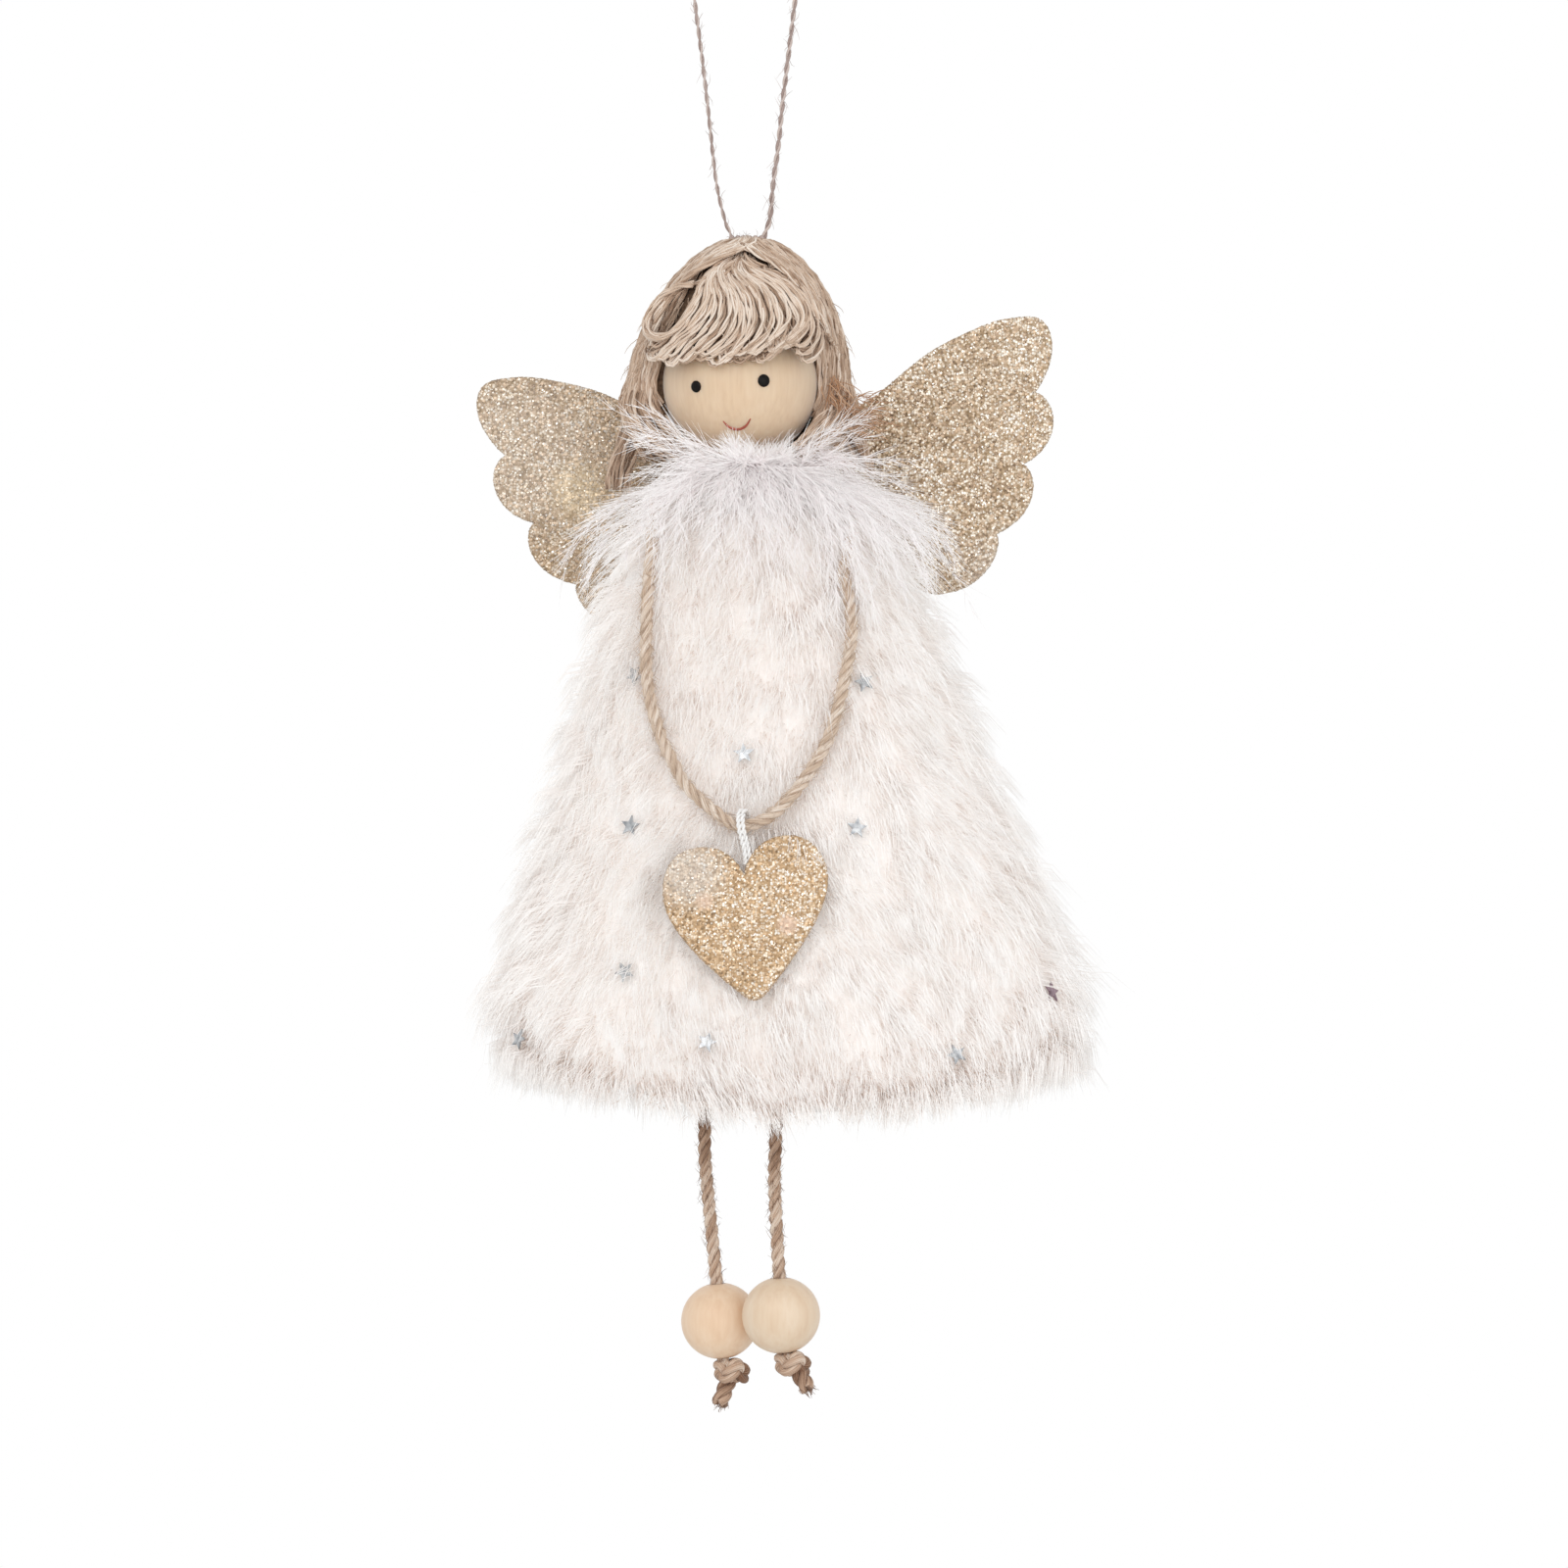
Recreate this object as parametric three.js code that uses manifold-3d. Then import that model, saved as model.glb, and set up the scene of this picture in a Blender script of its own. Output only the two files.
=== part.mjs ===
// A small hanging angel doll: a wooden ball head with yarn hair, a stuffed dress of white fur
// fabric, one flat glitter wing piece, a feather collar, a cord necklace with a heart, and two
// cord legs that end in a wooden bead and a knot. It hangs by a loop of fine twine.
//
// Millimetres. +Z is up, +X is the viewer's right, -Y is the doll's front.
// The origin is the hang point, at the inside of the loop's crown.

import * as THREE from 'three';
import { mergeVertices } from 'three/addons/utils/BufferGeometryUtils.js';
import Module from 'manifold-3d';

const wasm = await Module();
wasm.setup();

// Clearances
const GAP = 0.3; // between two pieces that touch on the real doll
const PIVOT_GAP = 0.6; // between the ends of two cords that bend against each other
const BEAD_PLAY = 0.5; // radial play of a foot bead on its cord

// Hanging loop and the knot on the crown of the hair
const LOOP_TWINE = 0.9;
const LOOP_ROUTE = [
  [-2.5, 0, -46.8], [-3.3, 0, -45.2], [-4.7, 0, -39.1], [-5.8, 0, -29.5], [-6.8, 0, -20.7],
  [-8.2, 0, -9.7], [-8.3, 0, -7.2], [-7.1, 0, -3.4], [-4.1, 0, -0.6], [0, 0, 0.45],
  [4.1, 0, -0.6], [7.0, 0, -3.4], [8.1, 0, -7.2], [7.9, 0, -9.7], [6.8, 0, -18.8],
  [6.0, 0, -25.3], [5.2, 0, -33.1], [4.4, 0, -39.1], [3.9, 0, -44.6], [3.2, 0, -46.8],
];
const CROWN_KNOT_LENGTH = 6.5;
const CROWN_KNOT_HEIGHT = 1.6;
const CROWN_KNOT_X = 0.35;

// Head and hair
const HEAD_D = 25;
const HEAD_BORE = 3;
const HEAD_X = -0.9;
const HAIR_CROWN = 9.3; // hair above the top of the ball
const HAIR_HALF_WIDTH = 18.1;
const HAIR_HALF_DEPTH = 16.7;
const HAIR_SKIRT = 4.4; // how far the hair reaches below the middle of the ball
const HAIR_SKIRT_DRAW = 0.5; // how far its lower edge is drawn in
const FACE_SIDE_GAP = 0.3; // from the ball to the side hair
const FACE_SETBACK = 3; // from the middle of the ball to the front edges of the side hair
const FACE_TOP = 17; // above the middle of the ball
const FRINGE_LINE = 3.9; // lower edge of the fringe, above the middle of the ball
const FRINGE_BULGE = 0.8;
const LOCK_D = 7;
const LOCK_INSET = 3.7; // of the root of a lock from the side of the hair
const LOCK_SETBACK = 3;
const LOCK_LEFT_END = [-5.3, 3.2, -12.5]; // from the root of the lock to its tip
const LOCK_RIGHT_END = [5.2, 3.4, -9];

// Dress of fur fabric, its stuffing and its base
const FABRIC = 4; // backing and pressed pile
const NECK_HALF_WIDTH = 6.5;
const SHOULDER_HALF_WIDTH = 17.2; // where the straight sides would meet the level of the neck
const SHOULDER_FALL = 9.1; // drop over which the shoulder rounds into the straight side
const SHOULDER_ROUNDNESS = 1.5;
const HEM_HALF_WIDTH = 51; // at the level of the middle of the hem
const DRESS_LENGTH = 102.8; // from the neck to the middle of the hem
const HEM_RISE = 11.5; // the sides of the hem are higher than its middle
const DRESS_FLATNESS = 0.58; // depth of the dress beside its width
const FLATTEN_DROP = 18; // drop over which the round neck turns into the flat skirt
const NECK_X = 1.4;
const DRESS_LEAN = 6.4; // the hem is glued a little off to the right
const BASE_THICKNESS = 2;

// Feather collar, as a ring that lies on the shoulders: half widths and drops below the neck
const COLLAR_INNER_EDGE = [14.6, 15.5];
const COLLAR_LOWER_EDGE = [23.9, 16.5];
const COLLAR_WIDEST = [26.5, 12.2];
const COLLAR_SHOULDER = [25.7, 5.9];
const COLLAR_UPPER_EDGE = [20.1, 0];
const COLLAR_TOP = [11, -2.6];

// Wing piece, in its own frame with U across and V up from its middle
const WING_THICKNESS = 2;
const WING_X = 4;
const WING_RISE = 5.6; // of the middle of the wing frame above the neck
const WING_TILT = 6.8; // degrees, right side up
const WING_TOP_NOTCH = -5;
const WING_BRIDGE = -14; // lower edge of the middle
const WING_LEADING_EDGE = [[17.7, 3.2], [26.9, 9], [32.1, 11.3], [37.7, 12.7], [43.4, 12.9]];
const WING_SCALLOPS = [
  [[47.5, 12.6], [47.8, 6], [42.7, 0.8]],
  [[46.6, -0.6], [46.4, -8.2], [39.3, -10.4]],
  [[42, -11.8], [41.5, -18.8], [33.8, -21]],
  [[35.2, -22.8], [31.5, -29.6], [24.6, -29.4]],
];
const WING_LOWER_EDGE = [[22.6, -29.4], [20.9, -28.3]];
const WING_ARCH_PULL = 9; // how flat the lower edge runs out at the middle

// Necklace, as sideways places and drops below the neck
const CORD = 2.1;
const NECKLACE_LIFT = 1.6; // of the cord above the fabric, on the pressed pile
const NECKLACE_EXITS = [[-14.6, 18], [15.2, 18]]; // where it comes out from under the collar
const NECKLACE_ROUTE = [
  [-15.2, 23.5], [-15.5, 30], [-15.5, 34.8], [-14.8, 39.5], [-13.4, 44.4],
  [-11.5, 48.5], [-9.3, 52.4], [-5.4, 55.9], [-1.9, 58.4], [0, 58.8], [1.9, 58.3], [4.6, 56.9],
  [7.4, 54.3], [10.6, 50.2], [13.2, 45.7], [14.8, 41.2], [16, 35.8], [16.9, 30.6], [17, 26.8],
  [16.4, 22.5],
];
const NECKLACE_BAND = [
  [-140, 15], [-150, 12.2], [-162, 9.6], [-176, 7.4], [-195, 5.8], [-217, 4.8],
  [-243, 4.3], [-270, 4.2], [-297, 4.3], [-323, 4.8], [-345, 5.8], [-364, 7.4], [-378, 9.6],
  [-390, 12.2], [-402, 15],
]; // degrees round the neck from the viewer's right, and drop

// Heart and the thread it hangs on
const HEART_THREAD = 0.8;
const HEART_THREAD_HEADROOM = 1.1; // between the cord and the turn of thread over it
const HEART_THREAD_PLAY = 0.6; // between the thread and the cord that it loops over
const HEART_THREAD_SPREAD = 0.45; // sideways, of the front strand from the back strand
const HEART_THREAD_OPEN = 1.3; // room between its two strands near the heart
const HEART_THREAD_CLOSE = 4.5; // below the necklace, where its strands have come together
const HEART_NOTCH_DROP = 8.6; // from the necklace down to the notch
const THREAD_SEAT = 2.6; // of the thread's lowest turn above the notch, where the lobes leave room
const HEART_NOTCH_X = 0.5; // from the middle of the necklace
const HEART_CURVES = [
  [[1.2, 4.6], [4.2, 5.9], [6.9, 5.9]],
  [[10.9, 5.9], [13.1, 2.6], [13.1, -1.2]],
  [[13.1, -6.2], [6, -13], [0, -19.3]],
]; // half of the outline from the notch over the lobe to the point
const HEART_THICKNESS = 2;
const HEART_TILT = 8; // degrees, right lobe up

// Legs, beads and knots
const LEG_CORD = 2.2;
const HIP_BALL_D = 2.2;
const BEAD_D = 12.5;
const BEAD_HEIGHT = 11.9;
const KNOT_D = 6.4;
const KNOT_HEIGHT = 4.4;
const KNOT_TAIL = 5.5;
const ANCHOR_KNOT_D = 5;
// the places are sideways, depth, then height from the hip, down to where the cord runs straight
const LEGS = [
  {
    side: 'left', hip: [-6.7, 4.15], bend: [0.2, 0, -9.5], slope: [0.094, 0, -1],
    run: 25.2, tail: [-0.45, -0.2, -1],
  },
  {
    side: 'right', hip: [4.9, -4.15], bend: [-0.3, 0, -11.5], slope: [0.05, 0, -1],
    run: 21, tail: [0.7, -0.3, -1],
  },
]; // run is from the bend to the middle of the bead

// Foil stars, as sideways places, then drops below the neck or heights above the middle of the hem
const STAR_ARMS = 5;
const STAR_RADIUS = 1.75;
const STAR_WAIST = 0.75; // radius at the inner corners
const STAR_THICKNESS = 0.3;
const STARS_CHEST = [[-0.2, 46.9], [18.7, 35.5], [-17.4, 34.4]];
const STARS_SKIRT = [
  [-18.1, 44.4], [17.6, 44.1], [48.5, 17.9], [-35.8, 10.4], [33.3, 8.2], [-19, 21.3], [-6, 10.3],
];
const STARS_BACK = [[-12, 62.8], [14, 54.8], [-22, 34.8], [6, 30.8], [28, 24.8], [-4, 8.8]];
const STAR_TURN = 37; // degrees between one star and the next, so that no two look alike

// Facets
const ROUND = 24; // sides of the head, the hair and the collar
const DRESS_SIDES = 32;
const DRESS_RINGS = 12;
const DRESS_RING_CROWDING = 2; // rings crowd towards the rounded shoulder
const SMALL_ROUND = 16;
const HEAD_RINGS = 16;
const HAIR_RINGS = 10;
const LOCK_RINGS = 8;
const BEAD_RINGS = 10;
const KNOT_CAP_RINGS = 4;
const THREAD_STEPS = 32;
const THREAD_SIDES = 6;
const CORD_SIDES = 8;
const CORD_STEP = 2.6; // length of one step along a cord, in diameters
const HEM_STEPS = 7; // on each side of the middle of the hem
const CURVE_STEPS = 6; // of each curve in an outline
const WELD = 1e-4;
const NUDGE = 0.01; // small step along the dress that finds its slope

const rad = THREE.MathUtils.degToRad;

// Materials
const material = (color, roughness, metalness = 0) =>
  new THREE.MeshStandardMaterial({ color, roughness, metalness });
const WOOD = '#e9d3ae';
const BEAD_WOOD = '#f0d8b4';
const JUTE = '#c4a582';
const HAIR = '#b89b78';
const FUR = '#f6f1ee';
const FEATHER = '#ede6e6';
const GLITTER = '#c9ae87';
const HEART_GLITTER = '#d9b98a';
const THREAD = '#faf8f6';
const FOIL = '#b8bbbe';
const CLOTH = '#e8e2dc';
const WADDING = '#f4f2ee';

// Solid helpers
function solidOf(geometry) {
  const bare = geometry.clone();
  bare.deleteAttribute('normal');
  bare.deleteAttribute('uv');
  const welded = mergeVertices(bare, WELD);
  const mesh = new wasm.Mesh({
    numProp: 3,
    vertProperties: new Float32Array(welded.attributes.position.array),
    triVerts: new Uint32Array(welded.index.array),
  });
  return new wasm.Manifold(mesh);
}

function geometryOf(solid) {
  const mesh = solid.getMesh();
  const geometry = new THREE.BufferGeometry();
  geometry.setAttribute('position', new THREE.BufferAttribute(mesh.vertProperties, mesh.numProp));
  geometry.setIndex(new THREE.BufferAttribute(mesh.triVerts, 1));
  return geometry;
}

// A turned solid about Z. The profile of [radius, height] runs up the outside.
function turned(profile, sides = ROUND) {
  const points = profile.map(([r, z]) => new THREE.Vector2(r, z));
  return new THREE.LatheGeometry(points, sides).rotateX(Math.PI / 2);
}

function ball(radius, x, y, z, sides = ROUND) {
  return new THREE.SphereGeometry(radius, sides, sides / 2).rotateX(Math.PI / 2).translate(x, y, z);
}

function box(x0, x1, y0, y1, z0, z1) {
  const geometry = new THREE.BoxGeometry(x1 - x0, y1 - y0, z1 - z0);
  return geometry.translate((x0 + x1) / 2, (y0 + y1) / 2, (z0 + z1) / 2);
}

function post(radius, z0, z1, x, y) {
  const geometry = new THREE.CylinderGeometry(radius, radius, z1 - z0, SMALL_ROUND);
  return geometry.rotateX(Math.PI / 2).translate(x, y, (z0 + z1) / 2);
}

// A flat outline in X and Z, extruded along Y from y0 to y1.
function plate(points, y0, y1) {
  const shape = new THREE.Shape(points);
  const geometry = new THREE.ExtrudeGeometry(shape, { depth: y1 - y0, bevelEnabled: false });
  return geometry.rotateX(Math.PI / 2).translate(0, y1, 0);
}

// A cord along a smooth curve through the given places, grown outward where it cuts its own room.
function cord(places, diameter, grow = 0) {
  const curve = new THREE.CatmullRomCurve3(places.map((p) => new THREE.Vector3(...p)));
  const section = [];
  for (let i = 0; i < CORD_SIDES; i++) {
    const turn = (2 * Math.PI * (i + 0.5)) / CORD_SIDES;
    const radius = diameter / 2 + grow;
    section.push(new THREE.Vector2(radius * Math.cos(turn), radius * Math.sin(turn)));
  }
  const steps = Math.ceil(curve.getLength() / (CORD_STEP * diameter));
  return new THREE.ExtrudeGeometry(new THREE.Shape(section), {
    steps, extrudePath: curve, bevelEnabled: false,
  });
}

const object = new THREE.Group();

function add(name, geometry, look, parent = object) {
  const mesh = new THREE.Mesh(geometry, look);
  mesh.name = name;
  parent.add(mesh);
  return mesh;
}

// Heights that follow from the stack of pieces, from the loop down
const loopEnd = LOOP_ROUTE[0][2];
const knotTop = loopEnd - PIVOT_GAP;
const hairTop = knotTop - CROWN_KNOT_HEIGHT - GAP;
const headR = HEAD_D / 2;
const headZ = hairTop - HAIR_CROWN - headR;
const neckHole = NECK_HALF_WIDTH - FABRIC;
const neckZ = headZ - Math.sqrt(headR ** 2 - neckHole ** 2) - GAP;
const hemZ = neckZ - DRESS_LENGTH;
const hemX = NECK_X + DRESS_LEAN;

// Shape of the dress
const sideSlope = (HEM_HALF_WIDTH - SHOULDER_HALF_WIDTH) / DRESS_LENGTH;

function halfWidth(drop) {
  const shoulder = Math.exp(-((Math.max(drop, 0) / SHOULDER_FALL) ** SHOULDER_ROUNDNESS));
  const straight = SHOULDER_HALF_WIDTH + sideSlope * drop;
  return straight - (SHOULDER_HALF_WIDTH - NECK_HALF_WIDTH) * shoulder;
}

const flatness = (drop) =>
  DRESS_FLATNESS + (1 - DRESS_FLATNESS) * Math.exp(-Math.max(drop, 0) / FLATTEN_DROP);
const axisX = (drop) => NECK_X + (DRESS_LEAN * drop) / DRESS_LENGTH;

// A place on the outside of the dress, at an angle round it and a drop below the neck.
function onDress(turn, drop) {
  const a = halfWidth(drop);
  const x = axisX(drop) + a * Math.cos(turn);
  return new THREE.Vector3(x, a * flatness(drop) * Math.sin(turn), neckZ - drop);
}

// The direction that points straight out of the dress there.
function outOfDress(turn, drop) {
  const round = onDress(turn + NUDGE, drop).sub(onDress(turn - NUDGE, drop));
  const up = onDress(turn, drop - NUDGE).sub(onDress(turn, drop + NUDGE));
  return round.cross(up).normalize();
}

// The same by a sideways place, on the front where the face is -1 and on the back where it is 1.
function turnAt(x, drop, face) {
  return face * Math.acos((x - axisX(drop)) / halfWidth(drop));
}

// How far the dress reaches back from its middle at a sideways place, or nothing beside it.
function depthAt(x, drop) {
  const across = (x - axisX(drop)) / halfWidth(drop);
  return drop < 0 || Math.abs(across) > 1 ? 0 : onDress(Math.acos(across), drop).y;
}

function aboveDress(turn, drop, clear) {
  return onDress(turn, drop).addScaledVector(outOfDress(turn, drop), clear);
}

// Turns a round solid about the neck's axis into the flat, leaning form of the dress.
function asDress(geometry) {
  const place = geometry.attributes.position;
  for (let i = 0; i < place.count; i++) {
    const drop = neckZ - place.getZ(i);
    place.setX(i, place.getX(i) + axisX(drop));
    place.setY(i, place.getY(i) * flatness(drop));
  }
  return geometry;
}

// The solid form of the dress, grown outward by an offset, from above the neck to below the hem.
function dressForm(offset, top) {
  const below = DRESS_LENGTH + HEM_RISE;
  const profile = [[0, neckZ - below]];
  for (let i = DRESS_RINGS; i >= 0; i--) {
    const drop = below * (i / DRESS_RINGS) ** DRESS_RING_CROWDING;
    profile.push([halfWidth(drop) + offset, neckZ - drop]);
  }
  if (top > 0) profile.push([NECK_HALF_WIDTH + offset, neckZ + top]);
  profile.push([0, neckZ + top]);
  return solidOf(asDress(turned(profile, DRESS_SIDES)));
}

// Everything below the curve of the hem, which is raised by a lift.
function belowHem(lift) {
  const reach = HEM_HALF_WIDTH + HEM_RISE;
  const floor = hemZ - DRESS_LENGTH;
  const points = [];
  for (let i = -HEM_STEPS; i <= HEM_STEPS; i++) {
    const away = (reach * i) / HEM_STEPS;
    points.push(new THREE.Vector2(hemX + away, hemZ + lift + HEM_RISE * (away / HEM_HALF_WIDTH) ** 2));
  }
  points.push(new THREE.Vector2(hemX + reach, floor), new THREE.Vector2(hemX - reach, floor));
  return solidOf(plate(points, -reach, reach));
}

// Hanging loop and the knot that ties it on the crown
add('hanging_loop', cord(LOOP_ROUTE, LOOP_TWINE), material(JUTE, 0.9));

const crownKnot = new THREE.CapsuleGeometry(
  CROWN_KNOT_HEIGHT / 2, CROWN_KNOT_LENGTH - CROWN_KNOT_HEIGHT, KNOT_CAP_RINGS, SMALL_ROUND,
);
add('crown_knot', crownKnot.rotateZ(Math.PI / 2), material(JUTE, 0.9))
  .position.set(CROWN_KNOT_X, 0, knotTop - CROWN_KNOT_HEIGHT / 2);

// Head
const boreR = HEAD_BORE / 2;
const boreAngle = Math.acos(boreR / headR);
const headProfile = [];
for (let i = 0; i <= HEAD_RINGS; i++) {
  const angle = boreAngle * ((2 * i) / HEAD_RINGS - 1);
  headProfile.push([headR * Math.cos(angle), headR * Math.sin(angle)]);
}
headProfile.push(headProfile[0]);
add('head_ball', turned(headProfile), material(WOOD, 0.55)).position.set(HEAD_X, 0, headZ);

// Doubled twine that ties the head to the neck, and its knot inside the dress
const boreEnd = headZ - headR * Math.sin(boreAngle);
const twineR = LOOP_TWINE;
const anchorR = ANCHOR_KNOT_D / 2 - BEAD_PLAY;
add('neck_twine', post(twineR, boreEnd, hairTop, HEAD_X, 0), material(JUTE, 0.9));
add('neck_anchor_knot', ball(anchorR, NECK_X, 0, boreEnd - GAP - anchorR, SMALL_ROUND),
  material(JUTE, 0.9));

// Hair
function hairDome(bulge) {
  const height = HAIR_CROWN + headR;
  const profile = [
    [0, -HAIR_SKIRT],
    [HAIR_HALF_WIDTH + bulge - HAIR_SKIRT_DRAW, -HAIR_SKIRT],
  ];
  for (let i = 0; i <= HAIR_RINGS; i++) {
    const angle = (Math.PI / 2) * (i / HAIR_RINGS);
    profile.push([(HAIR_HALF_WIDTH + bulge) * Math.cos(angle), height * Math.sin(angle)]);
  }
  profile[profile.length - 1][0] = 0;
  const depth = (HAIR_HALF_DEPTH + bulge) / (HAIR_HALF_WIDTH + bulge);
  return solidOf(turned(profile).scale(1, depth, 1).translate(HEAD_X, 0, headZ));
}

function faceOpening(inset, lowest) {
  const half = headR + FACE_SIDE_GAP - inset;
  const front = 2 * HAIR_HALF_DEPTH;
  const opening = box(-half, half, -front, -FACE_SETBACK - inset, lowest, FACE_TOP - inset);
  return solidOf(opening.translate(HEAD_X, 0, headZ));
}

const headRoom = solidOf(ball(headR + GAP, HEAD_X, 0, headZ));
const twineRoom = solidOf(post(twineR + GAP, boreEnd, hairTop + GAP, HEAD_X, 0));
const hairLook = () => material(HAIR, 0.85);
const hairCap = hairDome(0)
  .subtract(headRoom)
  .subtract(faceOpening(0, -2 * headR))
  .subtract(twineRoom);
add('hair_cap', geometryOf(hairCap), hairLook());

const hairFringe = hairDome(FRINGE_BULGE)
  .intersect(faceOpening(GAP, FRINGE_LINE))
  .subtract(headRoom);
add('hair_fringe', geometryOf(hairFringe), hairLook());

// A side lock is a spindle from its root under the hair to its tip on the shoulder.
function hairLock(root, end, grow) {
  const axis = new THREE.Vector3(...end);
  const length = axis.length();
  const profile = [];
  for (let i = 0; i <= LOCK_RINGS; i++) {
    const along = i / LOCK_RINGS;
    const swell = Math.sqrt(Math.sin(Math.PI * along));
    profile.push([(LOCK_D / 2 + grow) * swell, along * (length + 2 * grow) - grow]);
  }
  profile[0][0] = 0;
  profile[LOCK_RINGS][0] = 0;
  const aim = new THREE.Quaternion().setFromUnitVectors(new THREE.Vector3(0, 0, 1), axis.normalize());
  return turned(profile, SMALL_ROUND).applyQuaternion(aim).translate(...root);
}

const lockSpread = HAIR_HALF_WIDTH - LOCK_INSET;
const lockRootZ = headZ - HAIR_SKIRT - GAP;
const locks = [
  ['hair_lock_left', [HEAD_X - lockSpread, LOCK_SETBACK, lockRootZ], LOCK_LEFT_END],
  ['hair_lock_right', [HEAD_X + lockSpread, LOCK_SETBACK, lockRootZ], LOCK_RIGHT_END],
];
for (const [name, root, end] of locks) add(name, hairLock(root, end, 0), hairLook());

// Dress: a shell of fur fabric, its stuffing, and the cloth base that closes it
const outside = dressForm(0, 0);
const inside = dressForm(-FABRIC, GAP);
const shell = outside.subtract(inside).subtract(belowHem(0));
add('dress_shell', geometryOf(shell), material(FUR, 1));

const baseSeat = dressForm(-FABRIC - GAP, 0);
const hips = LEGS.map((leg) => {
  const [x, y] = leg.hip;
  const across = (x - hemX) / HEM_HALF_WIDTH;
  return { x, y, underside: hemZ + HEM_RISE * across ** 2 };
});
let base = baseSeat.intersect(belowHem(BASE_THICKNESS)).subtract(belowHem(0));
const legR = LEG_CORD / 2;
for (const hip of hips) {
  const [low, high] = [hip.underside - BASE_THICKNESS, hip.underside + 2 * BASE_THICKNESS];
  const hole = post(legR + GAP, low, high, hip.x, hip.y);
  base = base.subtract(solidOf(hole));
}
add('dress_base', geometryOf(base), material(CLOTH, 0.95));

const knotRoom = solidOf(ball(anchorR + GAP, NECK_X, 0, boreEnd - GAP - anchorR, SMALL_ROUND));
let stuffing = baseSeat.subtract(belowHem(BASE_THICKNESS + GAP)).subtract(knotRoom);

// Knots inside the base that hold the legs
const legAnchorR = ANCHOR_KNOT_D / 2;
for (const [i, hip] of hips.entries()) {
  const knotZ = hip.underside + BASE_THICKNESS + GAP + legAnchorR;
  const shank = solidOf(post(legR, hip.underside, knotZ, hip.x, hip.y));
  const anchor = solidOf(ball(legAnchorR, hip.x, hip.y, knotZ, SMALL_ROUND)).add(shank);
  const room = ball(legAnchorR + GAP, hip.x, hip.y, knotZ, SMALL_ROUND);
  const below = post(legAnchorR + GAP, hip.underside, knotZ, hip.x, hip.y);
  stuffing = stuffing.subtract(solidOf(room)).subtract(solidOf(below));
  add(`${LEGS[i].side}_leg_anchor`, geometryOf(anchor), material(JUTE, 0.9));
}
add('dress_stuffing', geometryOf(stuffing), material(WADDING, 1));

// Necklace: a band round the neck under the collar, and the loop that hangs free
const cordR = CORD / 2;
const cordClear = cordR + NECKLACE_LIFT;
const exits = NECKLACE_EXITS.map(([x, drop]) => aboveDress(turnAt(x, drop, -1), drop, cordClear));
const roundNeck = NECKLACE_BAND.map(([turn, drop]) => aboveDress(rad(turn), drop, cordClear));
const bandPlaces = [exits[0], ...roundNeck, exits[1]].map((p) => p.toArray());
let band = solidOf(cord(bandPlaces, CORD));
for (const exit of exits) band = band.add(solidOf(ball(cordR, ...exit, SMALL_ROUND)));
add('necklace_band', geometryOf(band), material(JUTE, 0.9));

const inFront = NECKLACE_ROUTE.map(([x, drop]) => aboveDress(turnAt(x, drop, -1), drop, cordClear));
const [firstEnd, lastEnd] = [inFront[0], inFront.at(-1)].map((next, i) =>
  exits[i].clone().addScaledVector(next.clone().sub(exits[i]).normalize(), cordR + GAP));
const necklacePlaces = [firstEnd, ...inFront, lastEnd].map((p) => p.toArray());
add('necklace_loop', cord(necklacePlaces, CORD), material(JUTE, 0.9));
const necklaceLowest = Math.max(...NECKLACE_ROUTE.map(([, drop]) => drop));

// Wing piece: half of its outline is drawn and mirrored
const wingHalf = new THREE.Path().moveTo(0, WING_TOP_NOTCH);
wingHalf.splineThru(WING_LEADING_EDGE.map(([u, v]) => new THREE.Vector2(u, v)));
for (const [first, second, end] of WING_SCALLOPS) wingHalf.bezierCurveTo(...first, ...second, ...end);
wingHalf.quadraticCurveTo(...WING_LOWER_EDGE[0], ...WING_LOWER_EDGE[1]);
wingHalf.quadraticCurveTo(WING_ARCH_PULL, WING_BRIDGE, 0, WING_BRIDGE);
const wingRight = wingHalf.getPoints(CURVE_STEPS);
const wingLeft = wingRight.slice(1, -1).reverse().map((p) => new THREE.Vector2(-p.x, p.y));
const wingOutline = [...wingRight, ...wingLeft].reverse();
const wingZ = neckZ + WING_RISE;
const wingTilt = rad(WING_TILT);
// it is glued flat against the back of the dress, where the dress reaches farthest back under it
const wingSeat = wingOutline.map(({ x: u, y: v }) => {
  const x = WING_X + u * Math.cos(wingTilt) - v * Math.sin(wingTilt);
  const drop = neckZ - (wingZ + u * Math.sin(wingTilt) + v * Math.cos(wingTilt));
  return depthAt(x, drop);
});
const wingFront = Math.max(...wingSeat) + GAP;
const wing = add('wing_pair', plate(wingOutline, 0, WING_THICKNESS), material(GLITTER, 0.45, 0.3));
wing.position.set(WING_X, wingFront, wingZ);
wing.rotation.y = -wingTilt;

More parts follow.
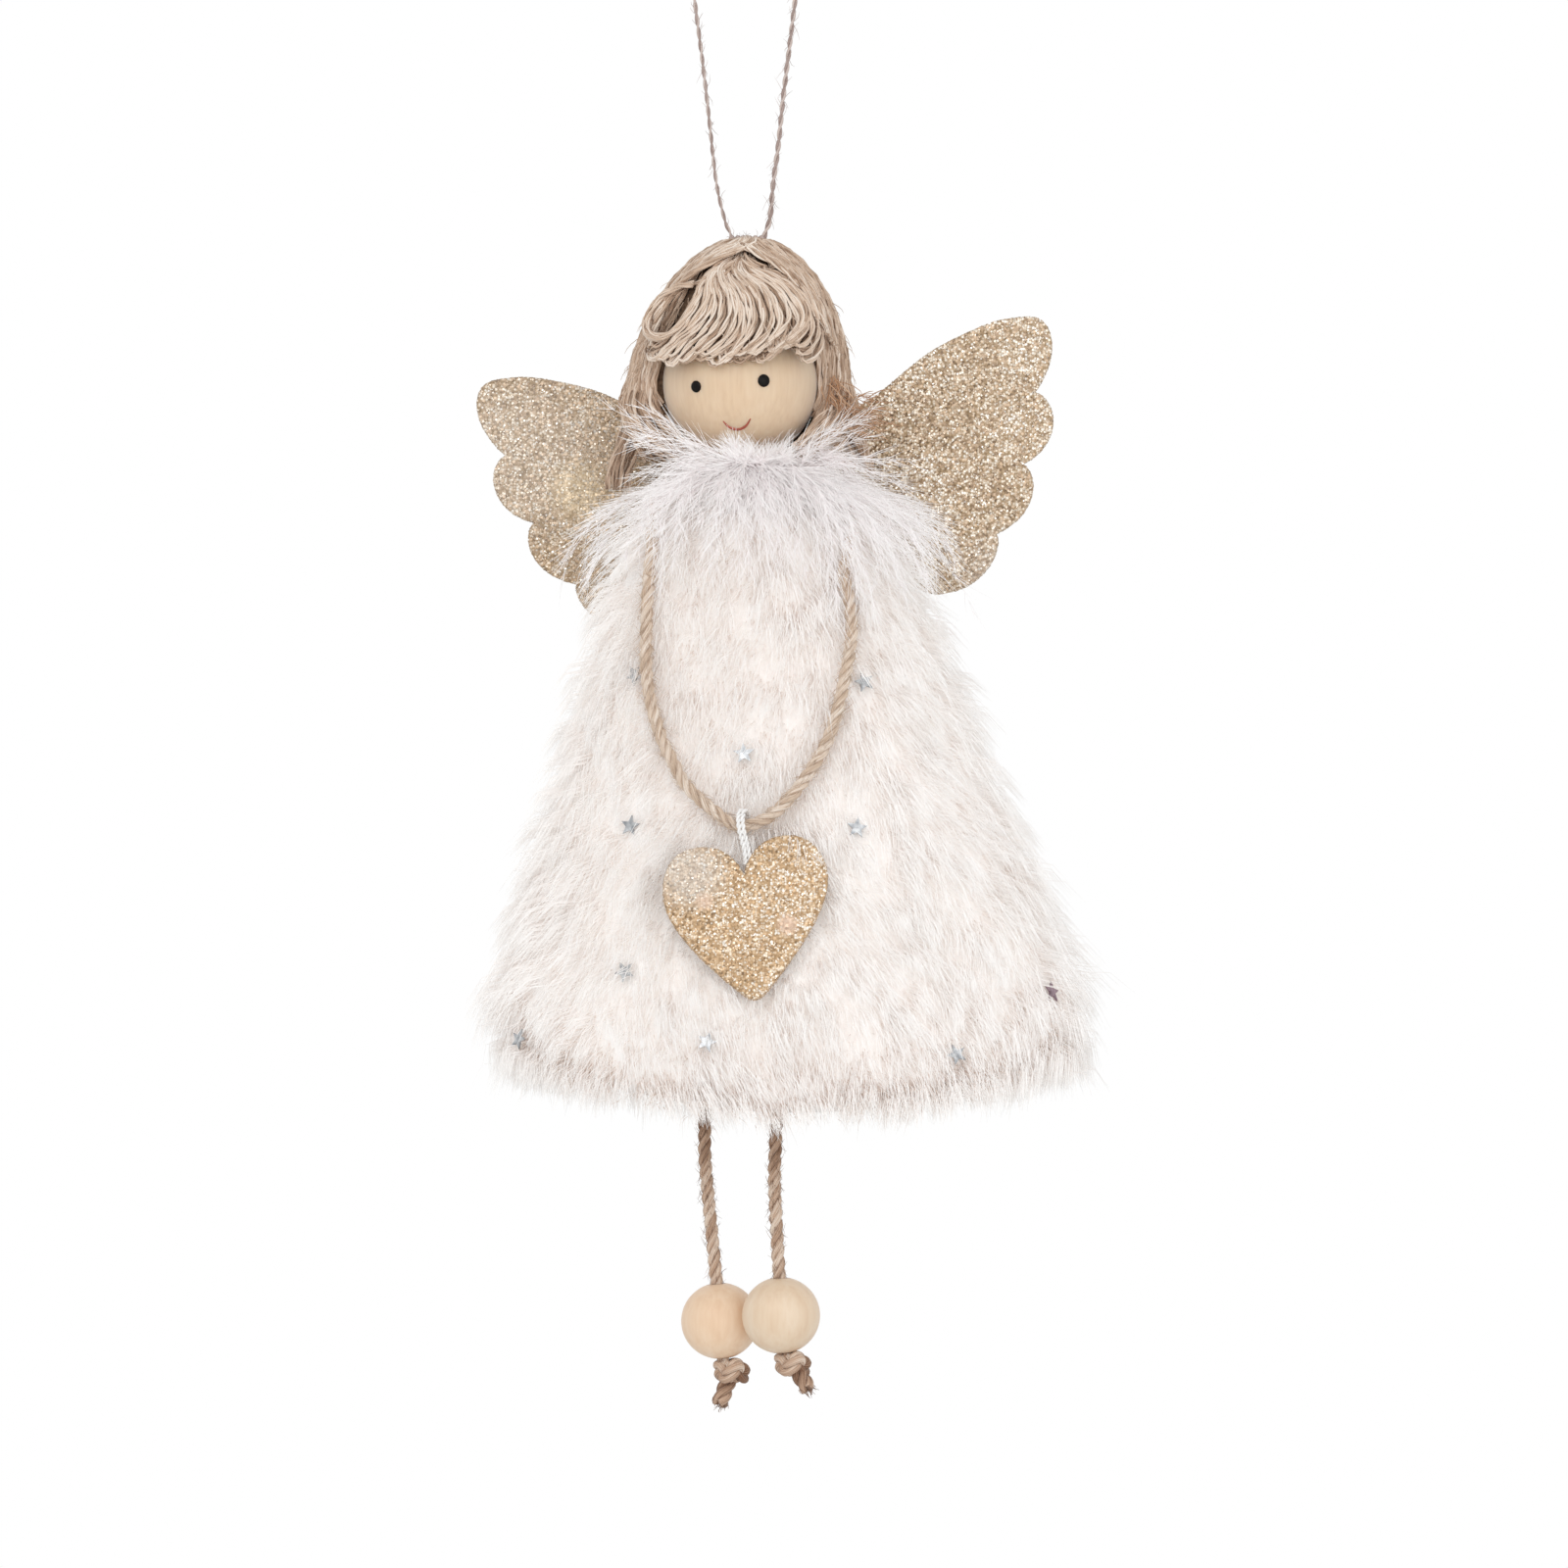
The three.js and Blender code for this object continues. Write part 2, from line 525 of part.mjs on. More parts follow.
// Feather collar, cut clear of everything that it lies against
const collarEdges = [
  COLLAR_INNER_EDGE, COLLAR_LOWER_EDGE, COLLAR_WIDEST, COLLAR_SHOULDER, COLLAR_UPPER_EDGE,
  COLLAR_TOP, [NECK_HALF_WIDTH, 0], COLLAR_INNER_EDGE,
];
const collarProfile = collarEdges.map(([half, drop]) => [half, neckZ - drop]);
const wingRoom = box(-HEM_HALF_WIDTH, HEM_HALF_WIDTH, wingFront - GAP, HEM_HALF_WIDTH, hemZ, hairTop);
let collar = solidOf(asDress(turned(collarProfile)))
  .subtract(dressForm(GAP, GAP))
  .subtract(headRoom)
  .subtract(solidOf(cord(bandPlaces, CORD, GAP)))
  .subtract(solidOf(ball(cordR + GAP, ...exits[0], SMALL_ROUND)))
  .subtract(solidOf(ball(cordR + GAP, ...exits[1], SMALL_ROUND)))
  .subtract(solidOf(wingRoom));
for (const [, root, end] of locks) collar = collar.subtract(solidOf(hairLock(root, end, GAP)));
add('feather_collar', geometryOf(collar), material(FEATHER, 1));

// Heart thread: a closed loop over the necklace, drawn together at the notch of the heart
const sway = aboveDress(turnAt(0, necklaceLowest, -1), necklaceLowest, cordClear);
const threadR = HEART_THREAD / 2;
const threadReach = cordR + HEART_THREAD_PLAY + threadR;
const frontOut = outOfDress(turnAt(0, necklaceLowest, -1), necklaceLowest);
const hanging = new THREE.Group();
hanging.position.copy(sway);
hanging.rotation.x = -Math.atan2(frontOut.z, -frontOut.y);
object.add(hanging);

const notchLow = -HEART_NOTCH_DROP;
const threadEnd = notchLow + THREAD_SEAT;
const threadTop = cordR + HEART_THREAD_HEADROOM + threadR;
const besideCord = threadReach * Math.SQRT1_2;
const strand = (side) => [
  [side * HEART_THREAD_SPREAD, side * besideCord, threadTop * Math.SQRT1_2],
  [side * HEART_THREAD_SPREAD, side * threadReach, -cordR / 2],
  [HEART_NOTCH_X, (side * HEART_THREAD_OPEN) / 2, -HEART_THREAD_CLOSE],
];
const threadPlaces = [
  [0, 0, threadTop], ...strand(1), [HEART_NOTCH_X, 0, threadEnd], ...strand(-1).reverse(),
].map((p) => new THREE.Vector3(...p));
const threadCurve = new THREE.CatmullRomCurve3(threadPlaces, true);
const threadLoop = new THREE.TubeGeometry(threadCurve, THREAD_STEPS, threadR, THREAD_SIDES, true);
add('heart_thread', threadLoop, material(THREAD, 0.8), hanging);

// Heart
const heartHalf = new THREE.Path().moveTo(0, 0);
for (const [first, second, end] of HEART_CURVES) heartHalf.bezierCurveTo(...first, ...second, ...end);
const heartRight = heartHalf.getPoints(CURVE_STEPS);
const heartLeft = heartRight.slice(1, -1).reverse().map((p) => new THREE.Vector2(-p.x, p.y));
const heartOutline = [...heartRight, ...heartLeft].reverse();
const heartHalfThick = HEART_THICKNESS / 2;
const heartPlate = plate(heartOutline, -heartHalfThick, heartHalfThick);
const heart = add('heart', heartPlate, material(HEART_GLITTER, 0.45, 0.3), hanging);
heart.position.set(HEART_NOTCH_X, 0, notchLow);
heart.rotation.y = -rad(HEART_TILT);

// Legs: a hip ball that turns under the base, a cord, a bead on the cord and a knot under it
const hipR = HIP_BALL_D / 2;
for (const [i, leg] of LEGS.entries()) {
  const hip = new THREE.Group();
  hip.position.set(hips[i].x, hips[i].y, hips[i].underside - GAP - hipR);
  object.add(hip);
  add(`${leg.side}_leg_hip`, ball(hipR, 0, 0, 0, SMALL_ROUND), material(JUTE, 0.9), hip);

  const along = new THREE.Vector3(...leg.slope).normalize();
  const bend = new THREE.Vector3(...leg.bend);
  const bead = bend.clone().addScaledVector(along, leg.run);
  const beadHalf = BEAD_HEIGHT / 2;
  const cordEnd = bead.clone().addScaledVector(along, beadHalf + GAP);
  const top = bend.clone().setLength(hipR + GAP);
  const middle = bend.clone().addScaledVector(along, leg.run / 2);
  const places = [top, bend, middle, cordEnd].map((p) => p.toArray());
  add(`${leg.side}_leg_cord`, cord(places, LEG_CORD), material(JUTE, 0.9), hip);

  const upright = new THREE.Quaternion().setFromUnitVectors(new THREE.Vector3(0, 0, -1), along);
  const bore = legR + BEAD_PLAY;
  const reach = Math.acos(bore / (BEAD_D / 2));
  const profile = [];
  for (let j = 0; j <= BEAD_RINGS; j++) {
    const angle = reach * ((2 * j) / BEAD_RINGS - 1);
    const height = (beadHalf * Math.sin(angle)) / Math.sin(reach);
    profile.push([(BEAD_D / 2) * Math.cos(angle), height]);
  }
  profile.push(profile[0]);
  const wood = add(`${leg.side}_foot_bead`, turned(profile, ROUND), material(BEAD_WOOD, 0.5), hip);
  wood.position.copy(bead);
  wood.quaternion.copy(upright);

  const knotMiddle = cordEnd.clone().addScaledVector(along, GAP + KNOT_HEIGHT / 2);
  const body = ball(1, 0, 0, 0, SMALL_ROUND).scale(KNOT_D / 2, KNOT_D / 2, KNOT_HEIGHT / 2);
  const tailEnd = new THREE.Vector3(...leg.tail).setLength(KNOT_TAIL).toArray();
  const tailMiddle = tailEnd.map((c) => c / 2);
  const tail = cord([[0, 0, 0], tailMiddle, tailEnd], LEG_CORD);
  const knot = solidOf(body).add(solidOf(tail));
  add(`${leg.side}_foot_knot`, geometryOf(knot), material(JUTE, 0.9), hip).position.copy(knotMiddle);
}

// Foil stars on the pile
const starPoints = [];
for (let i = 0; i < 2 * STAR_ARMS; i++) {
  const r = i % 2 ? STAR_WAIST : STAR_RADIUS;
  const turn = (Math.PI * i) / STAR_ARMS;
  starPoints.push(new THREE.Vector2(r * Math.sin(turn), r * Math.cos(turn)));
}
const starShape = new THREE.Shape(starPoints);
const starAt = (x, drop, face) => ({ turn: turnAt(x, drop, face), drop });
const stars = [
  ...STARS_CHEST.map(([x, drop]) => starAt(x, drop, -1)),
  ...STARS_SKIRT.map(([x, aboveHem]) => starAt(x, DRESS_LENGTH - aboveHem, -1)),
  ...STARS_BACK.map(([x, aboveHem]) => starAt(x, DRESS_LENGTH - aboveHem, 1)),
];
for (const [i, { turn, drop }] of stars.entries()) {
  const foil = new THREE.ExtrudeGeometry(starShape, { depth: STAR_THICKNESS, bevelEnabled: false });
  const name = `star_${String(i + 1).padStart(2, '0')}`;
  const star = add(name, foil.rotateZ(rad(STAR_TURN * i)), material(FOIL, 0.3, 0.8));
  star.position.copy(aboveDress(turn, drop, GAP));
  star.quaternion.setFromUnitVectors(new THREE.Vector3(0, 0, 1), outOfDress(turn, drop));
}

export default object;
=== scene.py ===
# A hanging angel doll: wooden ball head with yarn hair, white fur dress, glitter wings and heart,
# feather collar, cord necklace and cord legs with wooden beads. It hangs by a loop of fine twine.
# Lengths are written in millimetres and turned to metres as each mesh is made. The doll faces -Y.

import math

import bmesh
import bpy
import numpy as np
from mathutils import Matrix, Vector


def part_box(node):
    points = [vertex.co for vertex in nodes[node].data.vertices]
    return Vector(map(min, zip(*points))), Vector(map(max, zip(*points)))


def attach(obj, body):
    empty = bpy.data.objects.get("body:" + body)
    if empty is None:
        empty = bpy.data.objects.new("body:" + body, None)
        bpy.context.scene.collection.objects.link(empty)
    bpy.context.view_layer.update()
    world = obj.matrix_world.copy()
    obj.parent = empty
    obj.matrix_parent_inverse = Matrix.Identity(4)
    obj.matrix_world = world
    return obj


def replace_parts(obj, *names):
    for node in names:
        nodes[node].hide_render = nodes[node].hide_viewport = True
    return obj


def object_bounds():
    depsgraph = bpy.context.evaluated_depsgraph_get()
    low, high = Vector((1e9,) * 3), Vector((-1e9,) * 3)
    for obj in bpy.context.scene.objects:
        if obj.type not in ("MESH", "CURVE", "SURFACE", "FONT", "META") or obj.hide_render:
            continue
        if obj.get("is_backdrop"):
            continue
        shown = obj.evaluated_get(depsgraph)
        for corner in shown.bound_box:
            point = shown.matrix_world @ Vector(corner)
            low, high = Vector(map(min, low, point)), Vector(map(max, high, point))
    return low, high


MM = 0.001
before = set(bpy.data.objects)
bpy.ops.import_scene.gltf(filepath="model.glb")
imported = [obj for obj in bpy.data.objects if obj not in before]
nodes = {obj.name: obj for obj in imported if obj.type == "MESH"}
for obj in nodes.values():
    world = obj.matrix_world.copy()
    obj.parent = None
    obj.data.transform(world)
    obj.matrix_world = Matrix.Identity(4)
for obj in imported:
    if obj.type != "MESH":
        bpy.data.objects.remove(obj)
cad_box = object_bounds()
chance = np.random.default_rng(12)

# Studio: a white room with soft light from everywhere, a broad lamp in front, above and to the left,
# and a weaker one on the right. The camera stands level and far off, as a long lens does.
# The floor is painted matt white and lies well below the doll.
VIEW_WIDTH = 251.2
VIEW_CENTRE = (6.12, -135.33)
CAMERA_DISTANCE = 2000.0
CAMERA_REACH = 20000.0
SENSOR_WIDTH = 36.0
ROOM_LIGHT = 0.75
# each lamp's name, place, width and power
LAMPS = [
    ("key", (-330, -950, 360), 700, 3.0),
    ("fill", (420, -850, -60), 600, 1.4),
]
LAMP_AIM = (0, 0, -130)
FLOOR_Z = -420.0
FLOOR_RADIUS = 1000.0
FLOOR_CLOUD = 330.0

scene = bpy.context.scene
scene.view_settings.view_transform = "Standard"
# light passes from fibre to fibre many times in white pile and down, and without this they turn grey
scene.cycles.diffuse_bounces = 12

camera_data = bpy.data.cameras.new("camera")
camera_data.sensor_fit = "HORIZONTAL"
camera_data.sensor_width = SENSOR_WIDTH
camera_data.lens = SENSOR_WIDTH * CAMERA_DISTANCE / VIEW_WIDTH
camera_data.clip_end = CAMERA_REACH * MM
camera = bpy.data.objects.new("camera", camera_data)
camera.location = Vector((VIEW_CENTRE[0], -CAMERA_DISTANCE, VIEW_CENTRE[1])) * MM
camera.rotation_euler = (math.pi / 2, 0, 0)
scene.collection.objects.link(camera)
scene.camera = camera


def colour(hex_code):
    # sRGB to linear
    parts = [int(hex_code[i : i + 2], 16) / 255 for i in (1, 3, 5)]
    linear = [p / 12.92 if p <= 0.04045 else ((p + 0.055) / 1.055) ** 2.4 for p in parts]
    return (*linear, 1.0)


def node(tree, kind, feeds=None, stops=None, **settings):
    # one node with its settings and what feeds it; a ramp's first two stops are its own ends
    made = tree.nodes.new("ShaderNode" + kind)
    for name, value in settings.items():
        setattr(made, name, value)
    for name, value in (feeds or {}).items():
        if isinstance(value, bpy.types.NodeSocket):
            tree.links.new(value, made.inputs[name])
        else:
            made.inputs[name].default_value = value
    for i, (place, hex_code) in enumerate(stops or []):
        ramp = made.color_ramp.elements
        stop = ramp[i] if i < 2 else ramp.new(place)
        stop.position = place
        stop.color = colour(hex_code)
    return made


world = bpy.data.worlds.new("white_room")
world.use_nodes = True
scene.world = world
tree = world.node_tree
tree.nodes.clear()
ray = node(tree, "LightPath").outputs
through = node(tree, "Math", {0: ray["Is Camera Ray"], 1: ray["Is Transmission Ray"]}, operation="MAXIMUM")
shown = node(tree, "Math", {0: through.outputs[0], 1: ray["Is Glossy Ray"]}, operation="MAXIMUM")
room = node(tree, "Background", {"Color": (1, 1, 1, 1), "Strength": ROOM_LIGHT})
backdrop = node(tree, "Background", {"Color": (1, 1, 1, 1), "Strength": 1.0})
either = node(tree, "MixShader", {0: shown.outputs[0], 1: room.outputs[0], 2: backdrop.outputs[0]})
node(tree, "OutputWorld", {"Surface": either.outputs[0]})

for name, place, size, power in LAMPS:
    lamp = bpy.data.lights.new(name, "AREA")
    lamp.size = size * MM
    lamp.energy = power
    lamp_object = bpy.data.objects.new(name, lamp)
    lamp_object.location = Vector(place) * MM
    aim = Vector(LAMP_AIM) * MM - lamp_object.location
    lamp_object.rotation_euler = aim.to_track_quat("-Z", "Y").to_euler()
    scene.collection.objects.link(lamp_object)


def finish_named(name):
    look = bpy.data.materials.new(name)
    look.use_nodes = True
    look.node_tree.nodes.clear()
    return look, look.node_tree


def cloudy(tree, spacing, detail, stops):
    # spots of a given size in millimetres, and the colour that drifts with them
    place = node(tree, "TexCoord")
    spots = node(tree, "TexNoise", {
        "Vector": place.outputs["Object"], "Scale": 1 / (spacing * MM), "Detail": detail,
    })
    shade = node(tree, "ValToRGB", {"Fac": spots.outputs["Fac"]}, stops)
    return spots.outputs["Fac"], shade.outputs["Color"]


def piece_from(shape, name, look, smooth=True):
    mesh = bpy.data.meshes.new(name)
    bmesh.ops.scale(shape, verts=shape.verts, vec=(MM, MM, MM))
    shape.to_mesh(mesh)
    shape.free()
    mesh.materials.append(look)
    if smooth:
        mesh.shade_smooth()
    made = bpy.data.objects.new(name, mesh)
    scene.collection.objects.link(made)
    return made


# Rolled floor paint: matt and nearly white, in faint clouds, so that only the shadow shows on it.
floor_paint, tree = finish_named("matt_white_floor_paint")
white = cloudy(tree, FLOOR_CLOUD, 3.0, [(0.3, "#F1F1F0"), (0.7, "#F8F8F7")])[1]
paint = node(tree, "BsdfPrincipled", {"Base Color": white, "Roughness": 0.9})
node(tree, "OutputMaterial", {"Surface": paint.outputs[0]})
shape = bmesh.new()
bmesh.ops.create_circle(shape, cap_ends=True, segments=96, radius=FLOOR_RADIUS)
bmesh.ops.translate(shape, verts=shape.verts, vec=(0, 0, FLOOR_Z))
piece_from(shape, "floor", floor_paint)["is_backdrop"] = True

# Hanging loop: one length of fine two-ply jute twine, tied on the crown and open at the top.
# The strand on the left is thinner where its plies have pulled tight, and both shed short fibres.
LOOP_ROUTE = [
    (-2.2, 0, -48.1), (-2.6, 0, -46.8), (-3.3, 0, -45.2), (-4.7, 0, -39.1), (-5.8, 0, -29.5),
    (-6.8, 0, -20.7), (-8.2, 0, -9.7), (-8.3, 0, -7.2), (-7.1, 0, -3.4), (-4.1, 0, -0.6), (0, 0, 0.45),
    (4.1, 0, -0.6), (7.0, 0, -3.4), (8.1, 0, -7.2), (7.9, 0, -9.7), (6.8, 0, -18.8), (6.0, 0, -25.3),
    (5.2, 0, -33.1), (4.4, 0, -39.1), (3.9, 0, -44.6), (3.2, 0, -46.8), (2.8, 0, -48.1),
]
LOOP_TWINE = 0.9
LOOP_TIGHT = 0.72
LOOP_FULLER = 0.3
TWINE_PITCH = 4.2
TWINE_STEP = 0.35
# how far a ply lies from its cord's middle, as a share of the cord's radius, for one, two or three plies
PLY_OUT = {1: 0.0, 2: 0.5, 3: 0.536}
FUZZ_R = 0.045


def run_along(lines):
    # the distance from the start of a line, or of each of several, to its points
    steps = np.linalg.norm(np.diff(lines, axis=-2), axis=-1)
    return np.concatenate([np.zeros_like(steps[..., :1]), np.cumsum(steps, axis=-1)], axis=-1)


def smooth_line(places, step):
    # a smooth curve through places, cut into even steps
    p = np.asarray(places, float)
    q = np.vstack([2 * p[0] - p[1], p, 2 * p[-1] - p[-2]])
    t = np.linspace(0, 1, 24, endpoint=False)[:, None]
    spans = []
    for a, b, c, d in zip(q, q[1:], q[2:], q[3:]):
        bent = (2 * a - 5 * b + 4 * c - d) + t * (3 * b - a - 3 * c + d)
        spans.append(b + t * ((c - a) + t * bent) / 2)
    fine = np.vstack([*spans, p[-1:]])
    run = run_along(fine)
    even = np.linspace(0, run[-1], max(int(round(run[-1] / step)), 2) + 1)
    return np.column_stack([np.interp(even, run, fine[:, i]) for i in range(3)])


def unit(v):
    return v / np.maximum(np.linalg.norm(v, axis=-1, keepdims=True), 1e-9)


def sides_of(lines):
    # two directions square to each line, carried along it without twisting
    ahead = unit(np.gradient(lines, axis=1))
    first = np.where(np.abs(ahead[:, 0, 2:]) < 0.9, [[0, 0, 1.0]], [[1.0, 0, 0]])
    across = np.zeros_like(lines)
    for i in range(lines.shape[1]):
        carried = first if i == 0 else across[:, i - 1]
        across[:, i] = unit(carried - np.sum(carried * ahead[:, i], axis=1, keepdims=True) * ahead[:, i])
    return across, np.cross(ahead, across)


def cut_rings(shape, rings):
    # cuts an upright shape of unit length into rings
    for i in range(1, rings):
        every = shape.verts[:] + shape.edges[:] + shape.faces[:]
        bmesh.ops.bisect_plane(shape, geom=every, plane_co=(0, 0, i / rings - 0.5), plane_no=(0, 0, 1))


def stem(sides, rings):
    # a closed round stem of unit radius and length
    shape = bmesh.new()
    bmesh.ops.create_cone(shape, cap_ends=True, segments=sides, radius1=1, radius2=1, depth=1)
    cut_rings(shape, rings)
    bmesh.ops.triangulate(shape, faces=shape.faces)
    shape.verts.index_update()
    places = np.array([v.co for v in shape.verts])
    faces = np.array([[v.index for v in f.verts] for f in shape.faces])
    shape.free()
    return places, faces


def laid(name, form, lines, radius, look, swell=None, tone=None):
    # one copy of a stem along each line, which has one point for each of the stem's rings
    places, faces = form
    lines = np.asarray(lines, float)
    count, points = lines.shape[:2]
    ring = np.rint((places[:, 2] + 0.5) * (points - 1)).astype(int)
    across, up = sides_of(lines)
    width = np.broadcast_to(np.asarray(radius, float).reshape(-1, 1), (count, points))
    width = width * (1 if swell is None else np.asarray(swell))
    spread = places[None, :, :1] * across[:, ring] + places[None, :, 1:2] * up[:, ring]
    verts = lines[:, ring] + width[:, ring, None] * spread
    corners = faces[None] + (np.arange(count) * len(places))[:, None, None]
    mesh = bpy.data.meshes.new(name)
    mesh.vertices.add(count * len(places))
    mesh.vertices.foreach_set("co", (verts * MM).astype(np.float32).ravel())
    mesh.loops.add(corners.size)
    mesh.loops.foreach_set("vertex_index", corners.astype(np.int32).ravel())
    mesh.polygons.add(count * len(faces))
    mesh.polygons.foreach_set("loop_start", np.arange(0, corners.size, 3, dtype=np.int32))
    mesh.update(calc_edges=True)
    tones = chance.random(count) if tone is None else np.asarray(tone, float)
    # marks for the materials: millimetres along the line, one tone for each copy, and root to tip
    marks = {
        "along": run_along(lines)[:, ring],
        "tone": np.repeat(tones[:, None], len(places), axis=1),
        "share": np.broadcast_to(ring / (points - 1), (count, len(places))),
    }
    for mark, values in marks.items():
        layer = mesh.attributes.new(mark, "FLOAT", "POINT")
        layer.data.foreach_set("value", values.astype(np.float32).ravel())
    turn = mesh.attributes.new("turn", "FLOAT_VECTOR", "POINT")
    flat = np.zeros((count, len(places), 3), np.float32)
    flat[:, :, :2] = places[None, :, :2]
    turn.data.foreach_set("vector", flat.ravel())
    mesh.materials.append(look)
    # fibres with three sides stay flat, because smoothing makes them grey
    if len(places) > 3 * points:
        mesh.shade_smooth()
    else:
        mesh.shade_flat()
    made = bpy.data.objects.new(name, mesh)
    scene.collection.objects.link(made)
    return made


def plied(path, plies, radius, pitch):
    # the lines of the plies that twist round a cord's own line, and the radius of one ply
    across, up = sides_of(path[None])
    run = run_along(path)
    share = PLY_OUT[plies]
    out = (np.asarray(radius) * share)[..., None] if np.ndim(radius) else radius * share
    lines = []
    for i in range(plies):
        angle = 2 * np.pi * (run / pitch + i / plies)
        lines.append(path + out * (np.cos(angle)[:, None] * across[0] + np.sin(angle)[:, None] * up[0]))
    return np.array(lines), 1 - share


def fuzz(name, path, radius, count, length, look, body):
    # short fibres that leave a cord at a slant, either way along it, and bend at random
    place = chance.integers(1, len(path) - 1, count)
    across, up = sides_of(path[None])
    angle = chance.random(count) * 2 * np.pi
    out = np.cos(angle)[:, None] * across[0][place] + np.sin(angle)[:, None] * up[0][place]
    ahead = unit(np.gradient(path, axis=0))[place] * chance.choice([-1, 1], count)[:, None]
    reach = length * chance.uniform(0.5, 1.3, count)[:, None]
    bend = unit(chance.normal(size=(count, 3)))
    root = path[place] + out * radius * 0.7
    middle = root + (out * 0.35 + ahead * 0.5) * reach
    tip = middle + (out * 0.25 + ahead * 0.4 + bend * 0.3) * reach
    made = laid(name, stem(3, 2), np.stack([root, middle, tip], axis=1), FUZZ_R, look, [1, 0.8, 0.3])
    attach(made, body)
    return made


def jute_look(name, dark, middle, pale, streak=0.35, start_shade=0.0):
    # Jute is a coarse bast fibre: dull, with pale and dark filaments that run along each ply.
    # Streaks are drawn about 4 mm long and as fine as the render can show.
    # A painted shade can darken the start of a cord, as under the hem, and fades out over its first 14 mm.
    look, tree = finish_named(name)
    along = node(tree, "Attribute", attribute_name="along").outputs["Fac"]
    turn = node(tree, "Attribute", attribute_name="turn").outputs["Vector"]
    tone = node(tree, "Attribute", attribute_name="tone").outputs["Fac"]
    stretched = node(tree, "Math", {0: along, 1: 0.25}, operation="MULTIPLY")
    apart = node(tree, "Math", {0: tone, 1: 37.0}, operation="MULTIPLY")
    length = node(tree, "CombineXYZ", {"X": stretched.outputs[0], "Y": apart.outputs[0]})
    spun = node(tree, "VectorMath", {0: turn, "Scale": 1.0 / streak}, operation="SCALE")
    lifted = node(tree, "VectorMath", {0: spun.outputs[0], 1: (50.0, 0.0, 50.0)}, operation="ADD")
    swapped = node(
        tree, "VectorRotate", {"Vector": lifted.outputs[0], "Angle": math.pi / 2}, rotation_type="Y_AXIS"
    )
    where = node(tree, "VectorMath", {0: length.outputs[0], 1: swapped.outputs[0]}, operation="ADD")
    streaks = node(tree, "TexNoise", {
        "Vector": where.outputs[0], "Scale": 1.0, "Detail": 4.0, "Roughness": 0.65,
    }).outputs["Fac"]
    both = node(tree, "Math", {0: tone, 1: 0.3, 2: streaks}, operation="MULTIPLY_ADD")
    shade_at_start = node(tree, "MapRange", {
        "Value": along, "From Min": 4.0, "From Max": 14.0, "To Min": 0.15 + start_shade, "To Max": 0.15,
    })
    level = node(tree, "Math", {0: both.outputs[0], 1: shade_at_start.outputs[0]}, operation="SUBTRACT")
    fibre = node(tree, "ValToRGB", {"Fac": level.outputs[0]}, [(0.28, dark), (0.72, pale), (0.5, middle)])
    ridge = node(tree, "Bump", {"Height": streaks, "Strength": 0.6, "Distance": 0.15 * MM})
    cloth = node(tree, "BsdfPrincipled", {
        "Base Color": fibre.outputs["Color"], "Roughness": 0.82, "Specular IOR Level": 0.25,
        "Sheen Weight": 0.15, "Normal": ridge.outputs["Normal"],
    })
    node(tree, "OutputMaterial", {"Surface": cloth.outputs[0]})
    return look


twine_jute = jute_look("fine_jute_twine", "#8A7770", "#B4A099", "#D6C8C0")
loop_line = smooth_line(LOOP_ROUTE, TWINE_STEP)
across_loop = np.linspace(0, 1, len(loop_line))
loop_radius = LOOP_TWINE / 2 * (LOOP_TIGHT + LOOP_FULLER * across_loop)
loop_plies, ply_share = plied(loop_line, 2, loop_radius, TWINE_PITCH)
hanging_loop = laid(
    "hanging_loop_twine", stem(8, len(loop_line) - 1), loop_plies, LOOP_TWINE / 2 * ply_share, twine_jute,
    loop_radius / (LOOP_TWINE / 2),
)
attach(hanging_loop, "loop")
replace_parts(hanging_loop, "hanging_loop")
loop_fuzz = fuzz("hanging_loop_fuzz", loop_line, LOOP_TWINE / 2, 150, 1.5, twine_jute, "loop")

# Crown knot: the ends of the loop wound round the twine that comes out of the head, lying along the hair.
# It is the same twine, so it is made of a few tight turns. The knots inside the doll take its finish too.
KNOT_CENTRE = (0.35, 0, -48.2)
KNOT_LENGTH = 5.6
KNOT_TURNS = 6
KNOT_TURN_R = 0.42
KNOT_TWINE_R = 0.4
wound = np.linspace(0, 1, KNOT_TURNS * 14 + 1)
knot_angle = wound * KNOT_TURNS * 2 * np.pi
knot_line = np.column_stack([
    (wound - 0.5) * KNOT_LENGTH, KNOT_TURN_R * np.cos(knot_angle), KNOT_TURN_R * np.sin(knot_angle),
]) + KNOT_CENTRE
crown_knot = laid(
    "crown_knot_twine", stem(7, len(knot_line) - 1), knot_line[None], KNOT_TWINE_R, twine_jute
)
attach(crown_knot, "crown")
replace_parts(crown_knot, "crown_knot")
fuzz("crown_knot_fuzz", knot_line, 0.5, 30, 1.4, twine_jute, "crown")
for inner in ("neck_twine", "neck_anchor_knot", "left_leg_anchor", "right_leg_anchor"):
    nodes[inner].data.materials.clear()
    nodes[inner].data.materials.append(twine_jute)

# Head: a turned ball of pale birch, drilled through for the twine and rubbed with a thin clear varnish.
# Two black dots and a thin red smile are painted on, with the face turned a little to the left.
HEAD_D = 25.0
HEAD_BORE = 3.0
HEAD_CENTRE = (-0.9, 0, -71.1)
# the middle of each eye, then half its width and height
EYES = [((-7.9, -72.0), (0.95, 0.95)), ((2.9, -71.1), (1.0, 1.02))]
EYE_PAINT_THICK = 0.3
SMILE = [(-3.6, -77.5), (-2.6, -78.45), (-1.2, -78.8), (0.0, -78.3), (0.8, -77.1)]
SMILE_WIDTH = 0.5
SMILE_SUNK = -0.05


